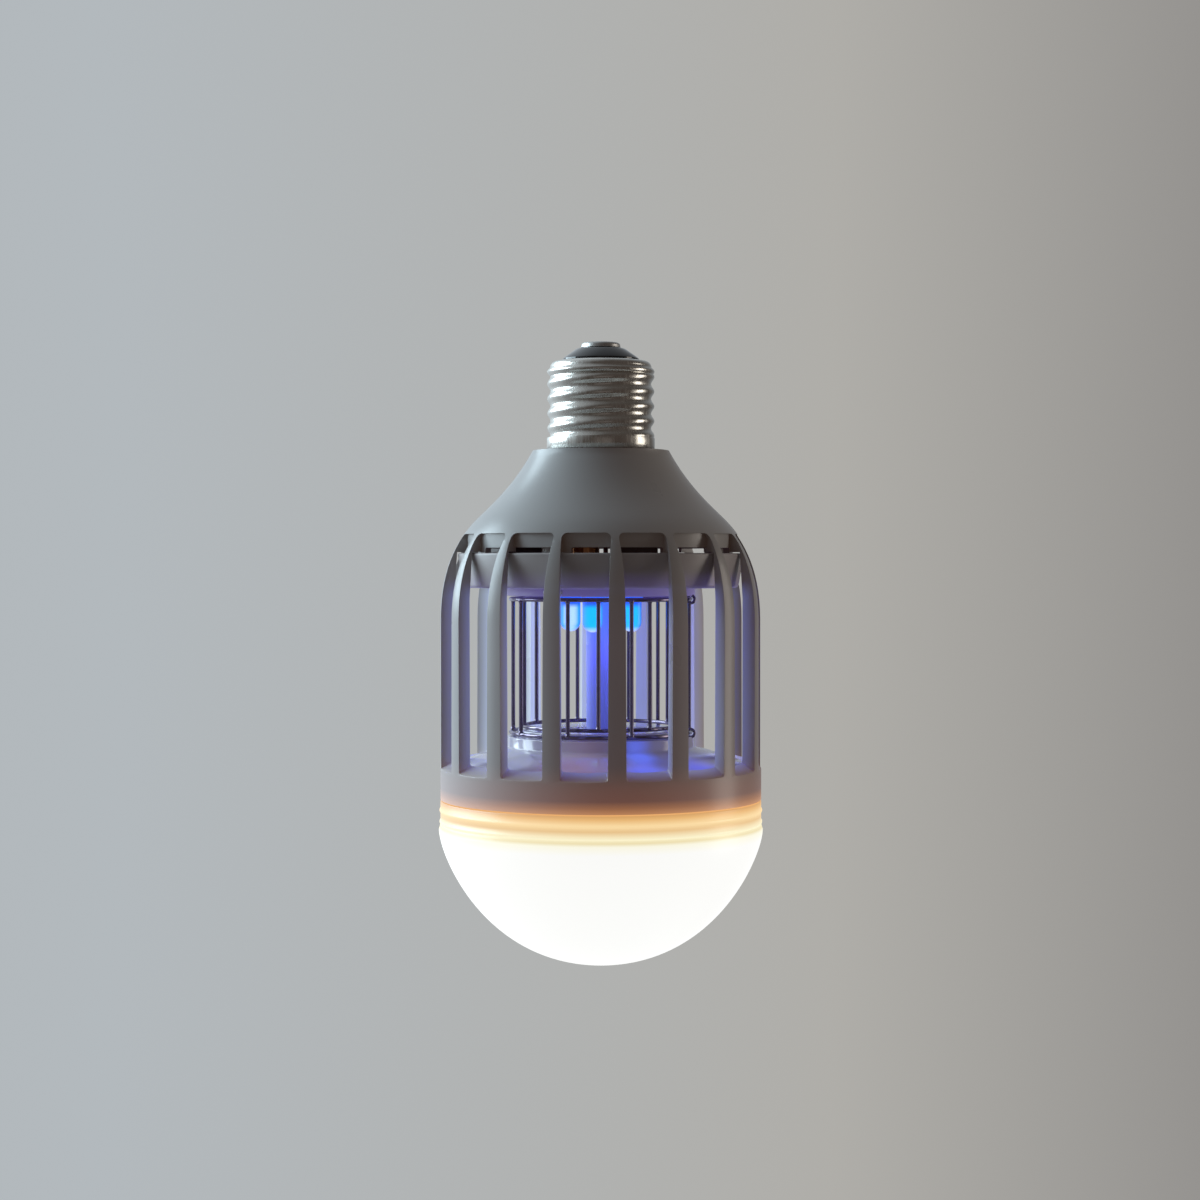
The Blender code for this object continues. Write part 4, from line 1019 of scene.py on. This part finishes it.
deck = {
    "steps": 120,
    "bossRadius": 23.2 * mm,
    "plateauRadius": 20.6 * mm,
    "plateauStep": 1.5 * mm,
    "bossDrop": 2.8 * mm,
    "floorDrop": 4 * mm,
    "wall": 1.8 * mm,
    "flange": 2 * mm,
    "flangeLift": 4.85 * mm,
    "bore": 2.4 * mm,
    "socket": 3.9 * mm,
    "socketDepth": 2.3 * mm,
    "edge": 0.35 * mm,
    "fillet": 0.15 * mm,
    "bossFoot": ((0, 0.4 * mm), (0.15 * mm, 0.1 * mm), (0.6 * mm, -0.15 * mm)),
    "rimEdge": ((-0.4 * mm, 0.15 * mm), (0, -0.2 * mm)),
    "pillar": (1.4 * mm, 2.6 * mm),
    "pillarLap": 0.75 * mm,
}


def makePillar(node, rimZ):
    # post under the deck that takes one of the plate's screws
    near, far = deck["pillar"]
    top = rimZ + deck["pillarLap"]
    outline = [(far, top), (far, deckLow.z), (near, deckLow.z), (near, top)]
    pillar = spinOutline(outline, 32)
    standOver(pillar, node)
    return pillar


def makeDeck():
    size = deck
    edge, fillet, wall = size["edge"], size["fillet"], size["wall"]
    boss, plateau = size["bossRadius"], size["plateauRadius"]
    rim = ribInner - gap
    flangeRadius = deckHigh.x
    bossZ = deckTopZ - size["plateauStep"]
    floorZ = bossZ - size["bossDrop"]
    rimZ = floorZ - size["floorDrop"]
    flangeTop = seamZ + size["flangeLift"] + size["flange"]
    flangeFoot = flangeTop - size["flange"]
    socketZ = deckTopZ - size["socketDepth"]
    outline = [(size["socket"], deckTopZ)]
    outline += arcPoints((plateau - edge, deckTopZ - edge), edge, 90, 0, 3)
    outline += [(plateau, bossZ + fillet), (plateau + fillet, bossZ)]
    outline += arcPoints((boss - edge, bossZ - edge), edge, 90, 0, 3)
    outline += [(boss + out, floorZ + up) for out, up in size["bossFoot"]]
    outline += [(rim + out, rimZ + up) for out, up in size["rimEdge"]]
    outline += [(rim, flangeTop), (flangeRadius, flangeTop), (flangeRadius, flangeFoot)]
    outline += [(rim - wall, flangeFoot), (rim - wall, rimZ - wall), (boss - wall, floorZ - wall)]
    outline += [(boss - wall, bossZ - wall), (size["bore"], bossZ - wall), (size["bore"], socketZ)]
    outline.append((size["socket"], socketZ))
    pieces = [spinOutline(outline, size["steps"])]
    pieces += [makePillar(node, rimZ) for node in ("plate_screw_1", "plate_screw_2")]
    finishPiece(joinPieces(pieces), "cageFloor", "deck_white", "deck", "lower_deck")


makeDeck()
print("deck made")


# diffuser: spigot, two round beads and the dome

dome = {
    "steps": 144,
    "wall": 1.8 * mm,
    "spigotWall": 1.8 * mm,
    "shelf": 1.3 * mm,
    "ledgeDrop": 0.6 * mm,
    "corner": ((-0.25 * mm, 0), (-0.07 * mm, -0.07 * mm), (0, -0.25 * mm)),
    "beadRadius": 0.62 * mm,
    "beadProud": 0.25 * mm,
    "beadDrops": (2.7 * mm, 5.5 * mm),
    "equatorDrop": 7.45 * mm,
    "bulge": 0.4 * mm,
    "depth": 33.5 * mm,
    "sidePull": 6 * mm,
    "polePull": 29 * mm,
}


def domeCurve(inset, count):
    size = dome
    side = Vector((bodyRadius + size["bulge"] - inset, seamZ - size["equatorDrop"]))
    pole = Vector((0, side.y - size["depth"] + inset))
    sidePull = side - Vector((0, size["sidePull"]))
    polePull = pole + Vector((size["polePull"] - inset, 0))
    return [side] + curvePoints(side, sidePull, polePull, pole, count)[:-1] + [pole]


def makeDome():
    size = dome
    bead, proud, wall = size["beadRadius"], size["beadProud"], size["wall"]
    shoulder = seamZ - gap
    ledgeZ = seamZ + size["ledgeDrop"]
    spigot = deckHigh.x
    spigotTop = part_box("diffuser")[1].z
    spigotInner = spigot - size["spigotWall"]
    shelf = spigotInner - size["shelf"]
    outline = domeCurve(wall, 20)[::-1]
    outline += [(bodyRadius - wall, shoulder - wall), (shelf, shoulder - wall / 2), (shelf, ledgeZ)]
    outline += [(spigotInner, ledgeZ), (spigotInner, spigotTop), (spigot, spigotTop), (spigot, shoulder)]
    outline += [(bodyRadius + out, shoulder + up) for out, up in size["corner"]]
    spread = math.degrees(math.acos((bead - proud) / bead))
    for drop in size["beadDrops"]:
        outline += arcPoints((bodyRadius + proud - bead, seamZ - drop), bead, spread, -spread, 8)
    outline += domeCurve(0, 44)
    shell = spinOutline(outline, size["steps"], closed=False)
    finishPiece(shell, "frostedDome", "frosted_white", "dome", "diffuser", angle=50)


makeDome()
print("diffuser made")


# screw cap: rolled thread, black insulator and tip

cap = {
    "radius": 13.2 * mm,
    "depth": 0.8 * mm,
    "pitch": 3.63 * mm,
    "wall": 0.4 * mm,
    "wave": 16,
    "steps": 72,
    "lap": 0.4 * mm,
    "collar": 2.6 * mm,
    "collarProud": 0.1 * mm,
    "collarRise": 0.3 * mm,
    "collarEdge": 0.15 * mm,
    "crown": 2.2 * mm,
    "crownRound": 1.6 * mm,
    "crownInset": 1.1 * mm,
    "crownLand": 0.1 * mm,
    "crownWall": 0.5 * mm,
    "crownProud": 0.02 * mm,
    "crownRing": ((-0.22 * mm, 0.12 * mm), (0, -0.2 * mm), (0, -0.5 * mm), (-0.2 * mm, -0.85 * mm)),
    "crownFoot": 1.4 * mm,
    "mouth": 9 * mm,
}


def windThread(size, top):
    # the wave of one pitch, wound up the cap
    middle = size["radius"] - size["depth"] / 2
    wave = []
    for step in range(size["wave"] + 1):
        share = step / size["wave"]
        wave.append((middle + size["depth"] / 2 * math.cos(share * math.tau), -size["pitch"] * share))
    thread = drawPath(wave)
    editOff()
    winding = thread.modifiers.new("wind", "SCREW")
    winding.steps = size["steps"]
    winding.render_steps = size["steps"]
    winding.screw_offset = size["pitch"]
    winding.iterations = math.ceil(top / size["pitch"]) + 1
    winding.use_merge_vertices = True
    winding.merge_threshold = 0.00001
    weld = thread.modifiers.new("weld", "WELD")
    weld.merge_threshold = 0.00002
    wall = thread.modifiers.new("wall", "SOLIDIFY")
    wall.thickness = size["wall"]
    wall.offset = -1
    applyStack(thread)
    return thread


def makeCapThread():
    size = cap
    low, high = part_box("screw_shell")
    collarTop = low.z + size["collar"]
    crownZ = high.z - size["crown"]
    thread = windThread(size, high.z)
    trim = uprightRod(2 * size["radius"], collarTop - size["lap"], crownZ - size["lap"], (0, 0), 64)
    carve(thread, trim, "INTERSECT")
    root = size["radius"] - size["depth"] - size["wall"]
    inner = root + size["collarProud"]
    collar = size["radius"] + size["collarProud"]
    swell = size["radius"] + size["crownProud"]
    roundZ = high.z - size["crownRound"]
    footZ = crownZ - size["crownFoot"]
    topInner = high.z - size["wall"]
    crownFlat = root - size["crownInset"]
    riseZ = collarTop + size["collarRise"]
    edge = size["collarEdge"]
    outline = [(size["radius"], riseZ), (collar, collarTop), (collar, low.z + edge)]
    outline += [(collar - edge, low.z), (inner, low.z), (inner, riseZ)]
    carve(thread, spinOutline(outline, size["steps"]), "UNION")
    outline = [(size["mouth"], high.z), (crownFlat - size["crownLand"], high.z)]
    outline += arcPoints((crownFlat, roundZ), size["crownRound"], 86, 0, 8)
    outline += [(swell + out, crownZ + up) for out, up in size["crownRing"]]
    outline += [(root + size["crownWall"], footZ), (inner, footZ), (inner, roundZ)]
    outline += [(crownFlat, topInner), (size["mouth"], topInner)]
    carve(thread, spinOutline(outline, size["steps"]), "UNION")
    finishPiece(thread, "capThread", "cap_metal", "capNickel", "screw_shell", angle=45)


capTop = {
    "bore": 1.3 * mm,
    "face": (5.9 * mm, 6.3 * mm, 0.2 * mm),
    "foot": (0.4 * mm, 0.7 * mm, 0.3 * mm),
    "step": 0.7 * mm,
    "tipRound": 0.8 * mm,
    "tipInset": 0.9 * mm,
    "tipHeight": 1.2 * mm,
    "tipStem": mm,
}


def makeCapTop():
    size = capTop
    bore = size["bore"]
    faceInner, faceOuter, faceEdge = size["face"]
    footInset, footHeight, footEdge = size["foot"]
    low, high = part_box("base_insulator")
    radius = high.x
    neck = radius - size["step"]
    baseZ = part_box("screw_shell")[1].z + gap
    outline = [(bore, high.z), (faceInner, high.z), (faceOuter, high.z - faceEdge)]
    outline += [(radius - footInset, baseZ + footHeight), (radius, baseZ + footEdge), (radius, baseZ)]
    outline += [(neck, baseZ), (neck, low.z), (bore, low.z)]
    glass = spinOutline(outline, 64)
    finishPiece(glass, "capInsulator", "black_insulator", "blackGlass", "base_insulator")
    low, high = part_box("centre_contact")
    inset = high.x - size["tipInset"]
    stem = size["tipStem"]
    footZ = high.z - size["tipHeight"]
    outline = [(0, high.z), (inset, high.z)]
    outline += arcPoints((inset, high.z - size["tipRound"]), size["tipRound"], 75, 0, 6)
    outline += [(high.x, footZ), (stem, footZ), (stem, low.z), (0, low.z)]
    tip = spinOutline(outline, 48, closed=False)
    finishPiece(tip, "capTip", "solder", "solder", "centre_contact", angle=40)


makeCapThread()
makeCapTop()
print("screw cap made")


# carried-over nodes keep their form and get their finish

carriedFinish = {
    "board_green": "boardGreen",
    "board_white": "boardWhite",
    "aluminium_plate": "plateAluminium",
    "chip_phosphor": "chipPhosphor",
    "coil_tape": "coilTape",
    "can_sleeve": "canSleeve",
    "film_coating": "filmCoating",
    "resistor_coating": "resistorCoating",
    "copper_winding": "windingCopper",
    "lead_red": "leadRed",
    "lead_black": "leadBlack",
}
for subpart in frame["record"]["subparts"]:
    finish = carriedFinish.get(subpart["material_slot"])
    if finish:
        carried = frame["nodes"][subpart["node"]]
        carried.data.materials.clear()
        carried.data.materials.append(materials[finish])
print("carried nodes finished")


# stage, lights and camera

stage = {
    "floorZ": -0.55,
    "floorRadius": 0.5,
    "floorColour": (0.47, 0.47, 0.455),
    "brightSide": (-0.78, 0.55, 0.3),
    "room": [
        (0, (0.06, 0.046, 0.04)),
        (0.45, (0.078, 0.068, 0.062)),
        (0.75, (0.3, 0.32, 0.34)),
        (1, (0.8, 0.9, 0.98)),
    ],
    # painted light and shade on the wall: bluish towards the left, then warmer, then a dark band towards
    # the right
    "wall": [
        (0, (0.43, 0.45, 0.46)),
        (0.35, (0.45, 0.485, 0.51)),
        (0.5, (0.43, 0.42, 0.395)),
        (0.65, (0.175, 0.165, 0.165)),
        (0.8, (0.4, 0.39, 0.375)),
        (1, (0.42, 0.41, 0.395)),
    ],
}


def makeFloor():
    bpy.ops.mesh.primitive_circle_add(
        vertices=64, radius=stage["floorRadius"], fill_type="NGON", location=(0, 0, stage["floorZ"])
    )
    floor = bpy.context.object
    floor.name = "paleFloor"
    material = plasticMaterial("paleFloor", stage["floorColour"], 0.8, 0.95, 0.02, 40, 0.02)[0]
    floor.data.materials.append(material)


def makeRoom():
    # one set of colours lights the object, the other is the wall that the camera sees
    world = bpy.data.worlds.new("softRoom")
    bpy.context.scene.world = world
    world.use_nodes = True
    tree = world.node_tree
    place = tree.nodes.new("ShaderNodeTexCoord").outputs["Generated"]
    bright = addRange(tree, addVector(tree, "DOT_PRODUCT", place, stage["brightSide"]), -1)
    across = addRange(tree, partOf(tree, place, "X"), -1)
    light = feedNode(tree, tree.nodes["Background"], {"Color": addRamp(tree, bright, stage["room"])})
    seen = addNode(tree, "ShaderNodeBackground", {"Color": addRamp(tree, across, stage["wall"])})
    rays = tree.nodes.new("ShaderNodeLightPath").outputs
    direct = addMath(tree, "MAXIMUM", rays["Is Camera Ray"], rays["Is Transmission Ray"])
    choose = addNode(tree, "ShaderNodeMixShader", {0: direct, 1: light.outputs[0], 2: seen.outputs[0]})
    feedNode(tree, tree.nodes["World Output"], {"Surface": choose.outputs[0]})


def addLamp(name, kind, place, power, colour):
    light = bpy.data.lights.new(name, kind)
    light.energy = power
    light.color = colour
    lamp = addObject(name, light)
    lamp.location = place
    return lamp


def addPanel(name, place, size, power, colour):
    panel = addLamp(name, "AREA", place, power, colour)
    panel.data.shape = "RECTANGLE"
    panel.data.size, panel.data.size_y = size
    panel.rotation_euler = (Vector(lights["aim"]) - Vector(place)).to_track_quat("-Z", "Y").to_euler()


# panels: name, place, width and height, power, colour
lights = {
    "aim": (0, 0, -0.05),
    "panels": [
        ("windowLeft", (-0.8, 0.16, 0.28), (0.8, 0.6), 9.3, (0.71, 0.9, 1)),
        ("lampRight", (0.75, 0.15, -0.03), (0.3, 0.7), 1.6, (1, 0.93, 0.84)),
        ("frontFill", (0.25, -1.3, -0.1), (0.9, 0.9), 0.16, (1, 0.93, 0.9)),
    ],
    "glows": 4,
    "glowReach": 12 * mm,
    "glowFirst": 36,
    "glowDrop": 12 * mm,
    "glowPower": 0.0045,
    "glowColour": (0.16, 0.12, 1),
    "glowRadius": 2 * mm,
}


def makeLights():
    for panel in lights["panels"]:
        addPanel(*panel)
    for index in range(lights["glows"]):
        spot = onCircle(lights["glowReach"], lights["glowFirst"] + 360 / lights["glows"] * index)
        place = (spot.x, spot.y, cupBossZ - lights["glowDrop"])
        glow = addLamp(f"uvGlow{index}", "POINT", place, lights["glowPower"], lights["glowColour"])
        glow.data.shadow_soft_size = lights["glowRadius"]
        glow.visible_glossy = False


camera = {
    "distance": 0.57,
    "azimuthDeg": 5.75,
    "height": -27.4 * mm,
    "pitchDeg": 0.943,
    "focalPx": 2309,
    "imagePx": 1200,
    "shift": -0.0007,
}


def makeCamera():
    data = bpy.data.cameras.new("photoCamera")
    data.sensor_width = 36
    data.lens = camera["focalPx"] / camera["imagePx"] * data.sensor_width
    data.shift_x = camera["shift"]
    eye = addObject("photoCamera", data)
    turn = math.radians(camera["azimuthDeg"])
    away = camera["distance"]
    eye.location = (away * math.sin(turn), -away * math.cos(turn), camera["height"])
    eye.rotation_euler = (math.radians(90 - camera["pitchDeg"]), 0, turn)
    bpy.context.scene.camera = eye


makeFloor()
makeRoom()
makeLights()
makeCamera()
bpy.context.scene.view_settings.view_transform = "Standard"
print("stage, lights and camera ready")
